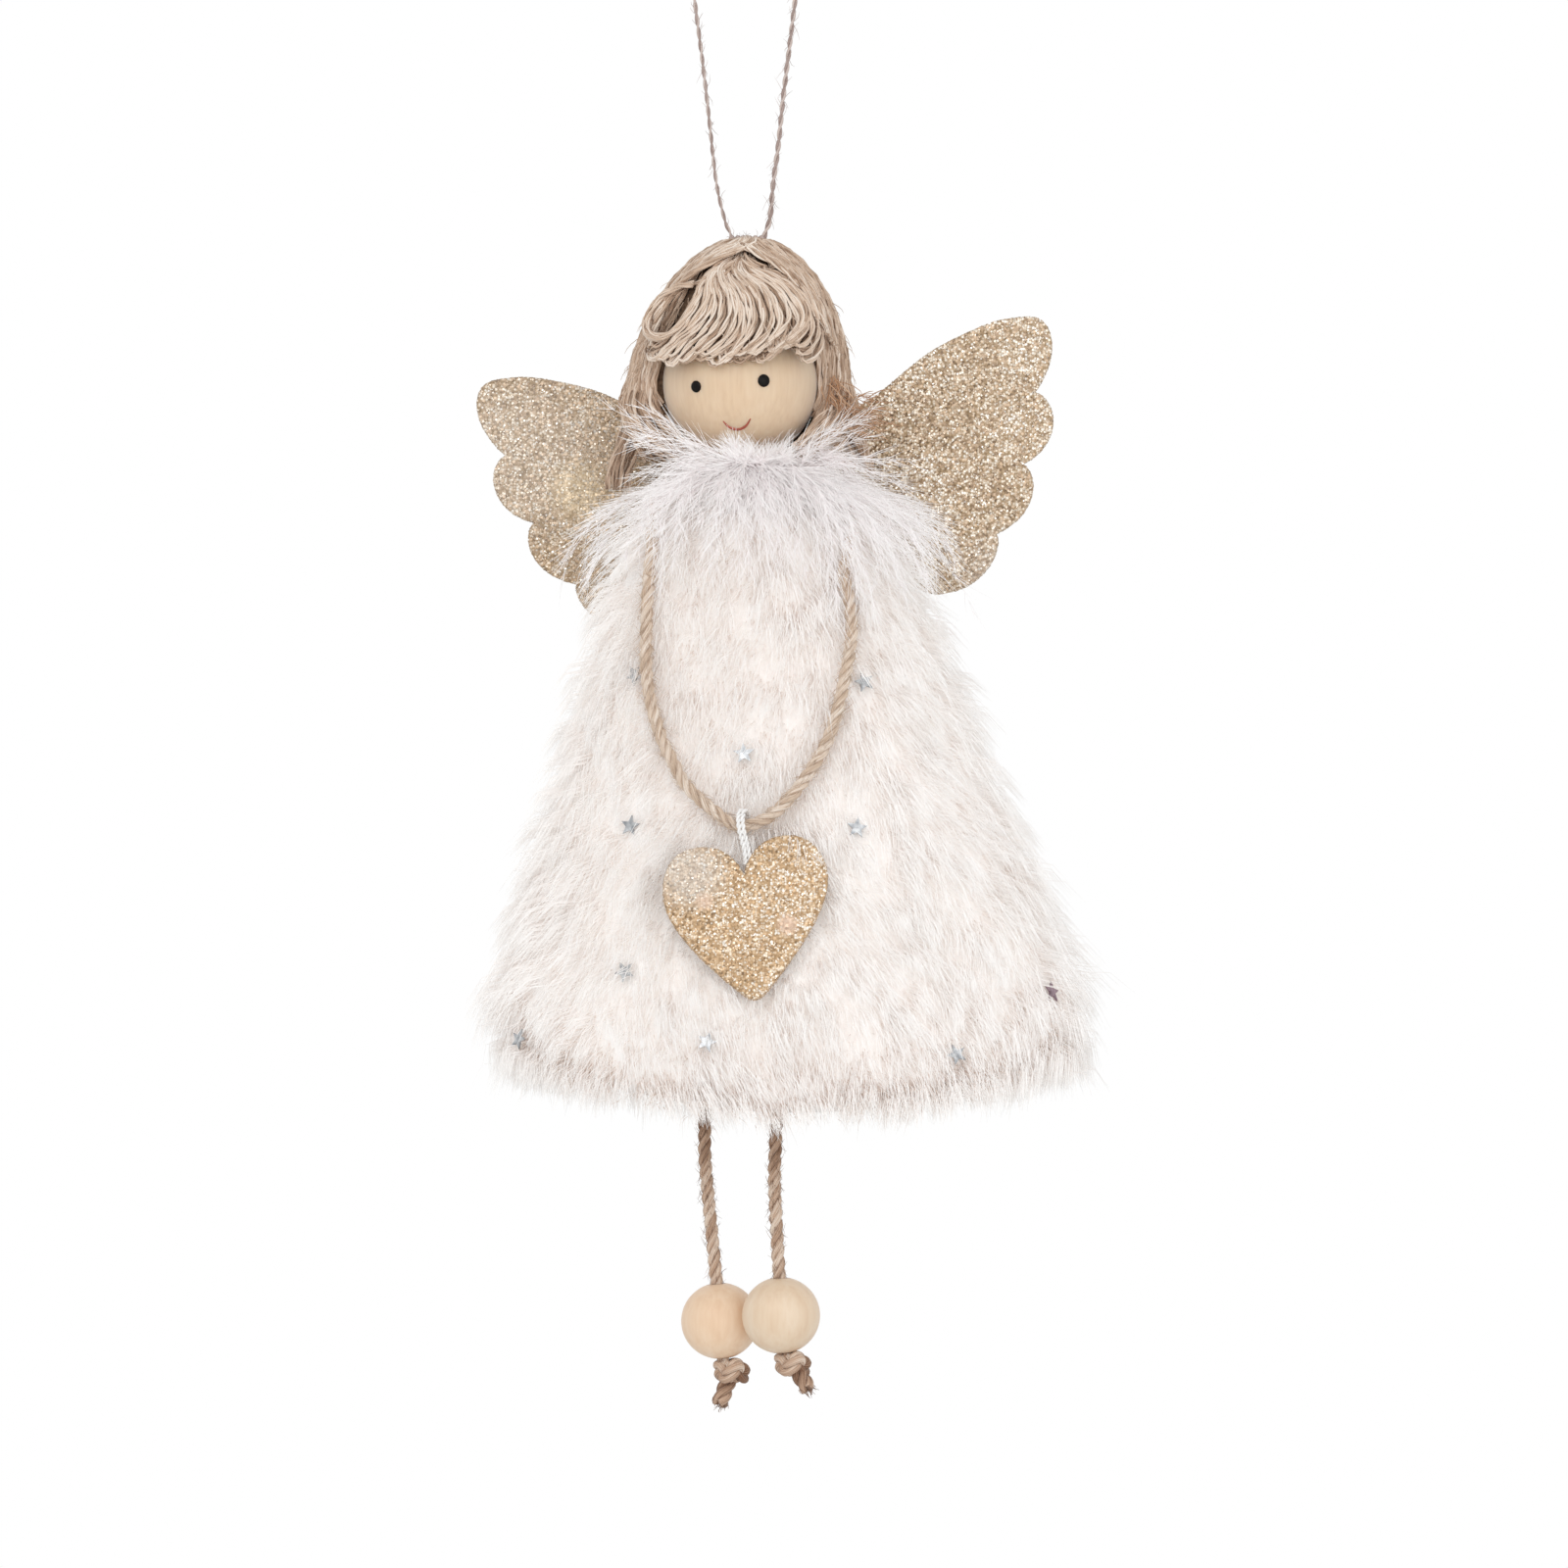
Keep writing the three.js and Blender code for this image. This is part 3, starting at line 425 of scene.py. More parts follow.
def wood_look(name, deep, middle, pale, grain=0.7, glow=0.0):
    # Birch is pale and close-grained: faint streaks along the bore, 0.7 mm apart, and a soft shine.
    # The glow is light that enters the pale wood and leaves it a few millimetres away,
    # which softens the shading.
    look, tree = finish_named(name)
    place = node(tree, "TexCoord")
    along = node(tree, "Mapping", {
        "Vector": place.outputs["Object"], "Rotation": (0.06, 0.1, 0), "Scale": (1.0, 1.0, 0.07),
    }).outputs[0]
    streaks = node(tree, "TexNoise", {
        "Vector": along, "Scale": 1 / (grain * MM), "Detail": 5.0, "Roughness": 0.6,
    }).outputs["Fac"]
    rings = node(tree, "TexNoise", {"Vector": along, "Scale": 1 / (6 * MM), "Detail": 2.0}).outputs["Fac"]
    both = node(tree, "Math", {0: rings, 1: 0.6, 2: streaks}, operation="MULTIPLY_ADD")
    level = node(tree, "Math", {0: both.outputs[0], 1: 0.3}, operation="SUBTRACT")
    wood = node(tree, "ValToRGB", {"Fac": level.outputs[0]}, [(0.25, deep), (0.8, pale), (0.5, middle)])
    pores = node(tree, "Bump", {"Height": streaks, "Strength": 0.12, "Distance": 0.1 * MM})
    turned = node(tree, "BsdfPrincipled", {
        "Base Color": wood.outputs["Color"], "Roughness": 0.5, "IOR": 1.5, "Specular IOR Level": 0.4,
        "Subsurface Weight": glow, "Subsurface Radius": (1.0, 0.8, 0.6), "Subsurface Scale": 4 * MM,
        "Coat Weight": 0.4, "Coat Roughness": 0.35, "Sheen Weight": glow, "Normal": pores.outputs["Normal"],
    })
    node(tree, "OutputMaterial", {"Surface": turned.outputs[0]})
    return look


def turned_ball(radius, height, bore):
    # a profile from the bore round the outside, spun about the bore
    reach = math.acos(bore / radius)
    shape = bmesh.new()
    rim = []
    for i in range(41):
        angle = reach * (i / 20 - 1)
        z = height / 2 * math.sin(angle) / math.sin(reach)
        rim.append(shape.verts.new((radius * math.cos(angle), 0, z)))
    edges = [shape.edges.new(pair) for pair in zip(rim, rim[1:])]
    edges.append(shape.edges.new((rim[-1], rim[0])))
    bmesh.ops.spin(
        shape, geom=rim + edges, axis=(0, 0, 1), cent=(0, 0, 0), angle=2 * math.pi, steps=72, use_merge=True
    )
    bmesh.ops.recalc_face_normals(shape, faces=shape.faces)
    return shape


head_birch = wood_look("birch_head", "#D6BB9C", "#DCC3A5", "#E1CBAF", glow=0.6)
head_r = HEAD_D / 2
shape = turned_ball(head_r, 2 * math.sqrt(head_r**2 - (HEAD_BORE / 2) ** 2), HEAD_BORE / 2)
bmesh.ops.translate(shape, verts=shape.verts, vec=HEAD_CENTRE)
head = piece_from(shape, "head_birch_ball", head_birch)
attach(head, "doll")
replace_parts(head, "head_ball")


def on_face(x, z, lift=0.0):
    # the place on the front of the ball that is seen at x and z, and the way it faces
    dx, dz = x - HEAD_CENTRE[0], z - HEAD_CENTRE[2]
    out = Vector((dx, -math.sqrt(head_r**2 - dx**2 - dz**2), dz)).normalized()
    return Vector(HEAD_CENTRE) + out * (head_r + lift), out


# Gloss enamel, dabbed on in one drop: nearly black, with a small highlight.
eye_paint, tree = finish_named("black_gloss_paint")
black = cloudy(tree, 0.4, 2.0, [(0.3, "#0B0908"), (0.7, "#171312")])[1]
dot = node(tree, "BsdfPrincipled", {"Base Color": black, "Roughness": 0.3, "Specular IOR Level": 0.12})
node(tree, "OutputMaterial", {"Surface": dot.outputs[0]})
for side, ((x, z), (half_wide, half_high)) in zip(("left", "right"), EYES):
    place, out = on_face(x, z)
    shape = bmesh.new()
    bmesh.ops.create_uvsphere(shape, u_segments=24, v_segments=12, radius=1)
    bmesh.ops.scale(shape, verts=shape.verts, vec=(half_wide, half_high, EYE_PAINT_THICK))
    turn = out.to_track_quat("Z", "Y").to_matrix().to_4x4()
    bmesh.ops.transform(shape, matrix=Matrix.Translation(place) @ turn, verts=shape.verts)
    eye = piece_from(shape, f"eye_{side}_paint", eye_paint)
    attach(eye, "doll")

# Thin red-brown paint drawn with a fine brush: its colour is uneven along the stroke, and it barely shines.
smile_paint, tree = finish_named("red_brown_line_paint")
red = cloudy(tree, 0.8, 3.0, [(0.3, "#93402F"), (0.7, "#B55E4E")])[1]
line_paint = node(tree, "BsdfPrincipled", {"Base Color": red, "Roughness": 0.5})
node(tree, "OutputMaterial", {"Surface": line_paint.outputs[0]})
smile_line = smooth_line([on_face(x, z, SMILE_SUNK)[0] for x, z in SMILE], 0.2)
smile_taper = np.sqrt(np.sin(np.pi * np.linspace(0.06, 0.94, len(smile_line))))
smile = laid(
    "smile_paint", stem(8, len(smile_line) - 1), smile_line[None], SMILE_WIDTH / 2, smile_paint, smile_taper
)
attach(smile, "doll")

# Hair: hanks of fine two-ply jute yarn glued on the ball in three lots. The side hair falls from the crown
# like the lines of a globe, the fringe is a fan of yarn loops, and free ends make the side locks.
# A matted layer of the same jute lies between the yarn and the ball; its darkness is partly painted shade.

# heights, and the hair's radius at each
HAIR_PROFILE = [
    (-47.9, 0.3), (-48.4, 4.0), (-49.6, 6.5), (-51.5, 9.0), (-54.0, 11.4), (-56.4, 13.1), (-59.0, 14.6),
    (-62.0, 15.9), (-66.4, 17.3), (-71.1, 18.0), (-76.0, 17.8), (-82.0, 16.8),
]
HAIR_DEPTH = 0.92
CROWN_Z = -47.9
SKIRT_Z = -76.2
BACK_LONGER = 6.2
SIDE_FIRST = math.radians(-41)
SIDE_SWEEP = math.radians(262)
# how deep each layer of side hair lies under the outline, and its count of yarns
SIDE_LAYERS = ((0.35, 165), (1.05, 130))
TIPS_TUCKED = 1.6
YARN_D = 0.78
YARN_PITCH = 7.0
YARN_POINTS = 23
UNDERLAYER_TOP = -49.8
UNDERLAYER_THICK = 0.7
UNDERLAYER_X = -0.7

hair_yarn = jute_look("jute_hair_yarn", "#947762", "#D2B8A1", "#F8ECDF", 0.5)
hair_z = np.array([z for z, r in HAIR_PROFILE][::-1])
hair_r = np.array([r for z, r in HAIR_PROFILE][::-1])


def hair_ring(z):
    # the hair's radius at a height, and where its middle is
    return np.interp(z, hair_z, hair_r), np.interp(z, [-71, -48], [-1.15, 0.35])


def set_back(z):
    # beside the face the side hair lies further back than the dome above it
    return np.interp(z, [-69, -58], [0.2, 1.0])


def rising(value, start, end):
    # from 0 at the start to 1 at the end
    return np.clip((value - start) / (end - start), 0, 1)


def waver(t, slow, fast):
    # a wave with its own pace and start
    return np.sin(t * chance.uniform(slow, fast) + chance.uniform(0, 6))


def yarns(name, lines, tone, width=YARN_D):
    # both plies of each yarn, twisted slowly about the yarn's own line
    lines = np.asarray(lines)
    pairs = [plied(line, 2, width / 2, YARN_PITCH * chance.uniform(0.8, 1.3))[0] for line in lines]
    tones = np.repeat(tone, 2)
    tones = np.clip(tones + chance.normal(0, 0.15, len(tones)), 0, 1)
    form = stem(5, lines.shape[1] - 1)
    made = laid(name, form, np.concatenate(pairs), width * 0.27, hair_yarn, tone=tones)
    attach(made, "doll")
    return made


# Matted jute lint with glue in it: dark brown and quite dull, partly painted shade, so that gaps in the yarn
# look deep.
shaded_underlayer, tree = finish_named("jute_underlayer_painted_shade")
lint, brown = cloudy(tree, 0.6, 5.0, [(0.3, "#3F3026"), (0.75, "#735D4B")])
rough = node(tree, "Bump", {"Height": lint, "Strength": 0.8, "Distance": 0.3 * MM})
matted = node(tree, "BsdfPrincipled", {
    "Base Color": brown, "Roughness": 0.95, "Specular IOR Level": 0.1, "Normal": rough.outputs["Normal"],
})
node(tree, "OutputMaterial", {"Surface": matted.outputs[0]})


def hair_shell(lowest, first, sweep, inset, beside_face):
    # part of a dome under the yarn, spun about the crown
    shape = bmesh.new()
    rim = []
    for z in np.linspace(UNDERLAYER_TOP, lowest, 20):
        rim.append(shape.verts.new((max(hair_ring(z)[0] - inset, 0.4), 0, z)))
    edges = [shape.edges.new(pair) for pair in zip(rim, rim[1:])]
    bmesh.ops.rotate(shape, verts=rim, cent=(0, 0, 0), matrix=Matrix.Rotation(first, 3, "Z"))
    bmesh.ops.spin(shape, geom=rim + edges, axis=(0, 0, 1), cent=(0, 0, 0), angle=sweep, steps=40)
    bmesh.ops.scale(shape, verts=shape.verts, vec=(1, HAIR_DEPTH, 1))
    for v in shape.verts:
        if beside_face and v.co.y < 0:
            v.co.y *= set_back(v.co.z)
    bmesh.ops.translate(shape, verts=shape.verts, vec=(UNDERLAYER_X, 0, 0))
    bmesh.ops.recalc_face_normals(shape, faces=shape.faces)
    bmesh.ops.solidify(shape, geom=shape.faces, thickness=UNDERLAYER_THICK)
    return shape


under = piece_from(hair_shell(-81.0, SIDE_FIRST, SIDE_SWEEP, 2.0, True), "hair_underlayer_sides", shaded_underlayer)
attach(under, "doll")
under_front = piece_from(
    hair_shell(-66.0, SIDE_FIRST, SIDE_SWEEP - 2 * math.pi, 2.7, False), "hair_underlayer_front", shaded_underlayer
)
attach(under_front, "doll")

side_lines = []
t = np.linspace(0, 1, YARN_POINTS)
for inset, count in SIDE_LAYERS:
    for i in range(count):
        angle = SIDE_FIRST + SIDE_SWEEP * (i + chance.uniform(0.2, 0.8)) / count
        end = SKIRT_Z + chance.uniform(-1.6, 2.2) - BACK_LONGER * (math.sin(angle) > -0.3)
        top = CROWN_Z - 0.4 * inset
        z = top + (end - top) * t**1.75
        r, x = hair_ring(z)
        swing = 0.05 * waver(t, 3, 8) * t
        off = inset + 0.22 * waver(t, 4, 10) + TIPS_TUCKED * rising(t, 0.93, 1.0) ** 2
        around = angle + swing + chance.normal(0, 0.012)
        forward = np.where(np.sin(around) < 0, set_back(z), 1.0)
        across_hair = np.maximum(r - off, 0.2)
        side_lines.append(np.column_stack([
            x + across_hair * np.cos(around), HAIR_DEPTH * forward * across_hair * np.sin(around), z,
        ]))
side_tone = np.clip(chance.normal(0.45, 0.2, len(side_lines)), 0, 1)
side_hair = yarns("hair_side_yarn", side_lines, side_tone)
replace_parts(side_hair, "hair_cap")

# Fringe: yarn loops glued in a fan under the crown, which bow to the right and hook back at the brow.
# Each guide is one yarn seen from the front; the rest lie between their neighbours in three layers.
# Two swathes cover the parting, and a loose loop stands out on the left.
FRINGE_GUIDES = [
    [(-6.6, -54.6), (-8.2, -58.0), (-10.6, -62.0), (-12.6, -64.6), (-14.6, -66.6)],
    [(-6.0, -54.6), (-6.6, -58.4), (-8.6, -62.2), (-11.4, -65.2), (-13.0, -67.2)],
    [(-5.0, -54.4), (-4.2, -58.4), (-5.4, -62.0), (-8.6, -65.4), (-10.6, -67.8)],
    [(-4.2, -54.2), (-2.4, -58.0), (-2.0, -61.0), (-3.6, -64.4), (-6.6, -67.1)],
    [(-3.4, -53.9), (-0.8, -57.8), (0.1, -61.4), (-0.9, -64.4), (-3.6, -67.1)],
    [(-2.4, -53.8), (0.7, -57.2), (2.1, -60.8), (1.6, -63.7), (-1.0, -67.0)],
    [(-1.4, -53.6), (2.4, -56.8), (4.0, -60.2), (3.9, -63.2), (1.0, -66.7)],
    [(-0.6, -53.5), (3.7, -56.2), (6.0, -59.8), (6.3, -63.0), (3.2, -66.4)],
    [(0.1, -53.2), (5.0, -55.8), (8.0, -59.2), (8.8, -62.2), (5.6, -66.0)],
    [(0.8, -52.9), (6.0, -55.2), (9.4, -58.2), (10.3, -61.6), (8.6, -64.6), (7.7, -64.9)],
    [(2.7, -53.3), (7.7, -55.8), (11.0, -59.8), (12.2, -63.6), (11.4, -66.4), (10.0, -67.4)],
]
# how far each layer lies under the outline, its count of yarns and how pale they are: deeper is darker, as
# painted shade
FRINGE_LAYERS = ((-0.55, 27, 0.86), (0.25, 36, 0.45), (1.05, 54, 0.08))
FRINGE_POINTS = 33
FRINGE_YARN_D = 0.86
PARTING = (-0.3, -48.7)
ROOT_PULL = 0.62
HOOK_R = 0.75
STRAYS = 18
PARTING_X = -0.8
FRONT_LOOP = [
    (-8.2, -55.4), (-11.2, -55.9), (-14.1, -57.9), (-15.9, -60.8), (-16.2, -62.7), (-15.0, -64.2),
    (-12.8, -64.1), (-10.5, -62.4), (-8.5, -59.4), (-7.5, -57.0),
]
LOOP_MIDDLE = np.array([-12.0, 0, -60.2])
LOOP_SHIFT = np.array([1.5, 0, 1.0])
# the size of each yarn of the loose loop, and how far it lies under the outline
LOOP_YARNS = ((1.0, -1.7), (0.95, -1.3), (0.9, -1.6), (1.02, -0.8), (0.97, -0.5))
# the outer and the inner edge of the swathe on each side of the parting
CROWN_GUIDES = [
    (
        [(0.3, -47.9), (-1.0, -48.3), (-5.0, -50.2), (-9.4, -53.8), (-13.2, -59.4), (-15.4, -66.0)],
        [(0.3, -47.9), (1.8, -48.9), (-2.2, -50.6), (-7.6, -53.3), (-11.2, -56.2), (-14.6, -61.0)],
    ),
    (
        [(0.3, -47.9), (1.6, -48.3), (5.4, -50.4), (9.8, -54.0), (13.0, -59.4), (14.4, -65.5)],
        [(0.3, -47.9), (-1.2, -48.9), (1.6, -50.7), (5.4, -52.9), (9.6, -57.2), (12.6, -62.6)],
    ),
]
# how far each layer of a swathe lies under the outline, and its count of yarns
CROWN_LAYERS = ((-0.45, 20), (0.4, 18))


def traced(places):
    # a fine line through places that are given as seen from the front
    return smooth_line([(x, 0, z) for x, z in places], 0.1)


def thinned(line, points):
    return line[np.linspace(0, len(line) - 1, points).astype(int)]


def lifted_front(line, off):
    # moves a line that is drawn flat to the front of the hair, off millimetres under its outline
    r, x = hair_ring(line[:, 2])
    depth = np.interp(line[:, 2], [-68, -57], [0.80, HAIR_DEPTH])
    inside = np.maximum((r - off) ** 2 - (line[:, 0] - x) ** 2, 0.2)
    return np.column_stack([line[:, 0], -depth * np.sqrt(inside), line[:, 2]])


guides = []
for guide in FRINGE_GUIDES:
    root = [ROOT_PULL * p + (1 - ROOT_PULL) * g for p, g in zip(PARTING, guide[0])]
    fine = traced([root] + guide)
    heading = unit(fine[-1] - fine[-4])
    inward = np.array([heading[2], 0, -heading[0]])
    bend = np.radians(np.arange(8, 150, 8))[:, None]
    hook = fine[-1] + HOOK_R * (inward * (1 - np.cos(bend)) + heading * np.sin(bend))
    guides.append(thinned(np.concatenate([fine, hook]), FRINGE_POINTS))
guides = np.array(guides)
fringe_lines = []
fringe_tone = []
t = np.linspace(0, 1, FRINGE_POINTS)
for off, count, pale in FRINGE_LAYERS:
    for i in range(count):
        s = (len(guides) - 1) * np.clip((i + chance.uniform(0, 1)) / count, 0, 0.999)
        low = int(s)
        line = guides[low] * (1 - s + low) + guides[low + 1] * (s - low)
        drift = chance.normal(0, 0.25, 2)
        longer = 1 + 0.03 * chance.normal()
        line = line[0] + (line - line[0]) * longer + (0, 0, chance.uniform(-0.5, 0.6))
        line = line + np.column_stack([
            drift[0] * np.sin(np.pi * t) + 0.06 * np.sin(t * 9 + drift[0] * 40), 0 * t, drift[1] * t,
        ])
        # the tip curls under, and the root goes in under the swathes
        height = off + 0.22 * waver(t, 4, 9) + 0.9 * rising(t, 0.9, 1.0) ** 2 + 2.8 * rising(t, 0.3, 0.0)
        fringe_lines.append(lifted_front(line, height))
        # deeper layers get darker yarn, as painted shade
        fringe_tone.append(np.clip(chance.normal(pale, 0.22), 0, 1))
for i in range(STRAYS):
    start = np.array([chance.uniform(-5, 6), 0, 0.0])
    beside = start[0] - PARTING_X
    start[2] = -51.2 - 0.42 * abs(beside) + chance.uniform(-0.6, 0.9)
    way = np.array([np.sign(beside) * chance.uniform(0.5, 1), 0, -chance.uniform(0.2, 0.7)])
    bow = chance.uniform(-1.2, 1.2)
    line = start + way * (chance.uniform(3, 6) * t)[:, None]
    line[:, 2] += bow * np.sin(np.pi * t)
    fringe_lines.append(lifted_front(line, 0.3 + 0.9 * np.abs(2 * t - 1) ** 2))
    fringe_tone.append(chance.uniform(0.2, 0.6))
loop_guide = thinned(traced(FRONT_LOOP), FRINGE_POINTS)
for scale, off in LOOP_YARNS:
    line = LOOP_MIDDLE + (loop_guide - LOOP_MIDDLE) * (scale, 1, scale) + (1 - scale) * LOOP_SHIFT
    fringe_lines.append(lifted_front(line, off + 1.3 * np.abs(2 * t - 1) ** 4))
    fringe_tone.append(chance.uniform(0.7, 1.0))
for side_guides in CROWN_GUIDES:
    outer, inner = (thinned(traced(guide), FRINGE_POINTS) for guide in side_guides)
    for off, count in CROWN_LAYERS:
        for i in range(count):
            s = (i + chance.uniform(0, 1)) / count
            line = outer * (1 - s) + inner * s
            line[:, 0] += 0.2 * waver(t, 4, 9)
            height = off - 0.8 * s + 0.25 * np.sin(t * 7 + s * 30) + 0.9 * t
            fringe_lines.append(lifted_front(line, height))
            fringe_tone.append(np.clip(chance.normal(0.5, 0.25), 0, 1))
fringe = yarns("hair_fringe_yarn", fringe_lines, np.array(fringe_tone), FRINGE_YARN_D)
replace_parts(fringe, "hair_fringe")

# Side locks: the free ends of the side yarn. Some tuck in under the cheeks, and the others hang
# behind the collar. Loose fibres stand off all over the hair, with a rust-coloured tuft on the right.

# the outer and the inner edge of the yarn that tucks in
LOCKS = {
    "left": [
        ((-17.6, 0, -68.5), (-20.2, -1, -74.5), (-17.6, -3.5, -79.5), (-12.2, -6, -83.5)),
        ((-15.0, -1.4, -68.5), (-15.4, -2.4, -73.6), (-12.8, -5.0, -77.4), (-9.4, -8.2, -81.4)),
    ],
    "right": [
        ((15.4, 0, -68.5), (18.0, -1, -75), (15.6, -3.5, -80), (10.2, -6, -83.5)),
        ((12.7, -1.4, -68.5), (13.2, -2.4, -74), (10.9, -5.0, -77.6), (7.4, -8.2, -81.6)),
    ],
}
# where the yarn behind the collar starts and ends
LOCK_HANGS = {
    "left": ((-15.3, 2.4, -72), (-20.4, 6.1, -88.0)),
    "right": ((13.5, 2.4, -72), (18.6, 6.3, -84.6)),
}
LOCK_POINTS = 15
TUCKED_YARNS = 54
HANGING_YARNS = 30
HANG_R = 2.9
RUST_FIBRES = 125
RUST_BY_CHEEK = 45
FLYAWAYS = 260
FLYAWAY_R = 0.06
LOOSE_TAPER = [1, 1, 0.9, 0.7, 0.4]

for side, (outer, inner) in LOCKS.items():
    lock_lines = []
    for i in range(TUCKED_YARNS):
        s = (i + chance.uniform(0, 1)) / TUCKED_YARNS
        guide = np.array(outer) * (1 - s) + np.array(inner) * s + chance.normal(0, 0.45, (4, 3))
        guide[:, 1] += chance.uniform(0, 2.2)
        lock_lines.append(thinned(smooth_line(guide, 0.1), LOCK_POINTS))
    root, tip = (np.array(p) for p in LOCK_HANGS[side])
    t = np.linspace(0, 1, LOCK_POINTS)[:, None]
    for i in range(HANGING_YARNS):
        angle, reach = chance.uniform(0, 2 * np.pi), HANG_R * math.sqrt(chance.random())
        spread = np.array([math.cos(angle), math.sin(angle), 0]) * reach
        wave = 0.4 * np.sin(t * 7 + angle * 3) * np.array([1, 0.6, 0])
        bend = np.sin(t * np.pi / 2) ** 1.5
        fall = (tip - root) * np.hstack([bend, bend, t])
        lock_lines.append(root + spread * (1 - 0.35 * t) + fall + wave)
    lock_tone = np.clip(chance.normal(0.4, 0.22, len(lock_lines)), 0, 1)
    lock = yarns(f"hair_lock_{side}_yarn", lock_lines, lock_tone)
    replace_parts(lock, f"hair_lock_{side}")

rust_fibre = jute_look("rust_jute_fibre", "#A87B5C", "#CB9E79", "#E6C9AC")
rust_lines = []
t = np.linspace(0, 1, len(LOOSE_TAPER))[:, None]
for i in range(RUST_FIBRES):
    root = np.array([chance.uniform(12.2, 15.2), chance.uniform(-4.5, -1), chance.uniform(-74.5, -70)])
    way = np.array([chance.uniform(-0.1, 0.6), chance.uniform(-0.3, 0.1), chance.uniform(-1, -0.2)])
    if i >= RUST_BY_CHEEK:
        root = np.array([chance.uniform(15, 20), chance.uniform(-5, 3), chance.uniform(-79, -72.5)])
        way = np.array([chance.uniform(0.5, 1), chance.uniform(-0.3, 0.3), chance.uniform(-0.6, 0.25)])
    bow = unit(chance.normal(size=3))
    reach = chance.uniform(2, 5.5)
    rust_lines.append(root + unit(way) * reach * t + bow * reach * 0.3 * np.sin(t * 2.4))
rust_r = chance.uniform(0.05, 0.12, RUST_FIBRES)
rust = laid("hair_rust_fibres", stem(3, 4), rust_lines, rust_r, rust_fibre, LOOSE_TAPER)
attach(rust, "doll")
fly_lines = []
for i in range(FLYAWAYS):
    angle = chance.uniform(0, 2 * np.pi)
    z = chance.uniform(-75, -49)
    if math.sin(angle) < -0.5 and z < -65:
        # none grow out of the face
        z = chance.uniform(-65, -49)
    r, x = hair_ring(z)
    out = np.array([math.cos(angle), math.sin(angle) * HAIR_DEPTH, 0.2])
    root = np.array([x, 0, z]) + (r - 0.6) * out * (1, 1, 0)
    reach = chance.uniform(2, 5)
    way = unit(out * (0.25, 0.25, 0) + (0, 0, -0.9) + chance.normal(0, 0.25, 3))
    fly_lines.append(root + out * 0.9 * np.sin(t * 2.2) + way * reach * t)
flyaway = laid("hair_flyaway_fibres", stem(3, 4), fly_lines, FLYAWAY_R, hair_yarn, LOOSE_TAPER)
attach(flyaway, "doll")

# Dress: a cone of white long-pile plush, gathered at the neck and stuffed with wadding.
# The stuffed body under the pile is modelled with gathers that fade out below the neck.
# Its hem curves up at the sides and is rounded under.
NECK_Z = -83.6474
NECK_CENTRE = 1.4
NECK_HALF = 6.5
SHOULDER_HALF = 17.2
SHOULDER_DROP = 9.1
DRESS_LENGTH = 102.8
DRESS_SLOPE = 0.31
HEM_HALF = 51.0
HEM_CENTRE = 7.8
HEM_RISE = 11.5
HEM_ROUND = 9.0
HEM_TUCK = 3.0
# the dress is round at the neck, and this share as deep as it is wide further down
DRESS_FLAT = 0.58
FLAT_DROP = 18.0
PILE_DEPTH = 0.8
BODY_SIDES = 120
BODY_RINGS = 44
UNDERSIDE_RINGS = 6
UNDERSIDE_STEP = 0.15
UNDERSIDE_LIFT = 1.4


def dress_ring(drop):
    # half the dress's width at a distance below the neck, and its depth as a share of its width
    shoulder = (SHOULDER_HALF - NECK_HALF) * np.exp(-((np.maximum(drop, 0) / SHOULDER_DROP) ** 1.5))
    half = SHOULDER_HALF + (HEM_HALF - SHOULDER_HALF) / DRESS_LENGTH * drop - shoulder
    return half, DRESS_FLAT + (1 - DRESS_FLAT) * np.exp(-drop / FLAT_DROP)


def lowest_drop(angle):
    return DRESS_LENGTH - HEM_RISE * np.cos(angle) ** 2


def dress_at(angle, drop, out):
    # a point on the dress, out millimetres off its surface, and the way the surface faces there
    half, flat = dress_ring(drop)
    cos, sin = np.cos(angle), np.sin(angle)
    level = np.stack([cos * flat, sin, 0 * cos], axis=-1)
    facing = unit(unit(level) + np.array([0, 0, DRESS_SLOPE]))
    middle = NECK_CENTRE + (HEM_CENTRE - NECK_CENTRE) * drop / DRESS_LENGTH
    place = np.stack([middle + half * cos, half * flat * sin, NECK_Z - drop + 0 * cos], axis=-1)
    tuck = HEM_TUCK * np.clip((drop - lowest_drop(angle) + HEM_ROUND) / HEM_ROUND, 0, 1.3) ** 2
    return place + facing * (np.asarray(out) - tuck)[..., None], facing


# Knitted plush backing: white, dull and soft at its edges, with a fine uneven nap.
backing, tree = finish_named("white_plush_backing")
knit, white = cloudy(tree, 0.8, 4.0, [(0.3, "#FAF5F2"), (0.7, "#FEFCFA")])
nap = node(tree, "Bump", {"Height": knit, "Strength": 0.7, "Distance": 0.4 * MM})
cloth = node(tree, "BsdfPrincipled", {
    "Base Color": white, "Roughness": 0.95, "Specular IOR Level": 0.1, "Sheen Weight": 0.3,
    "Normal": nap.outputs["Normal"],
})
node(tree, "OutputMaterial", {"Surface": cloth.outputs[0]})

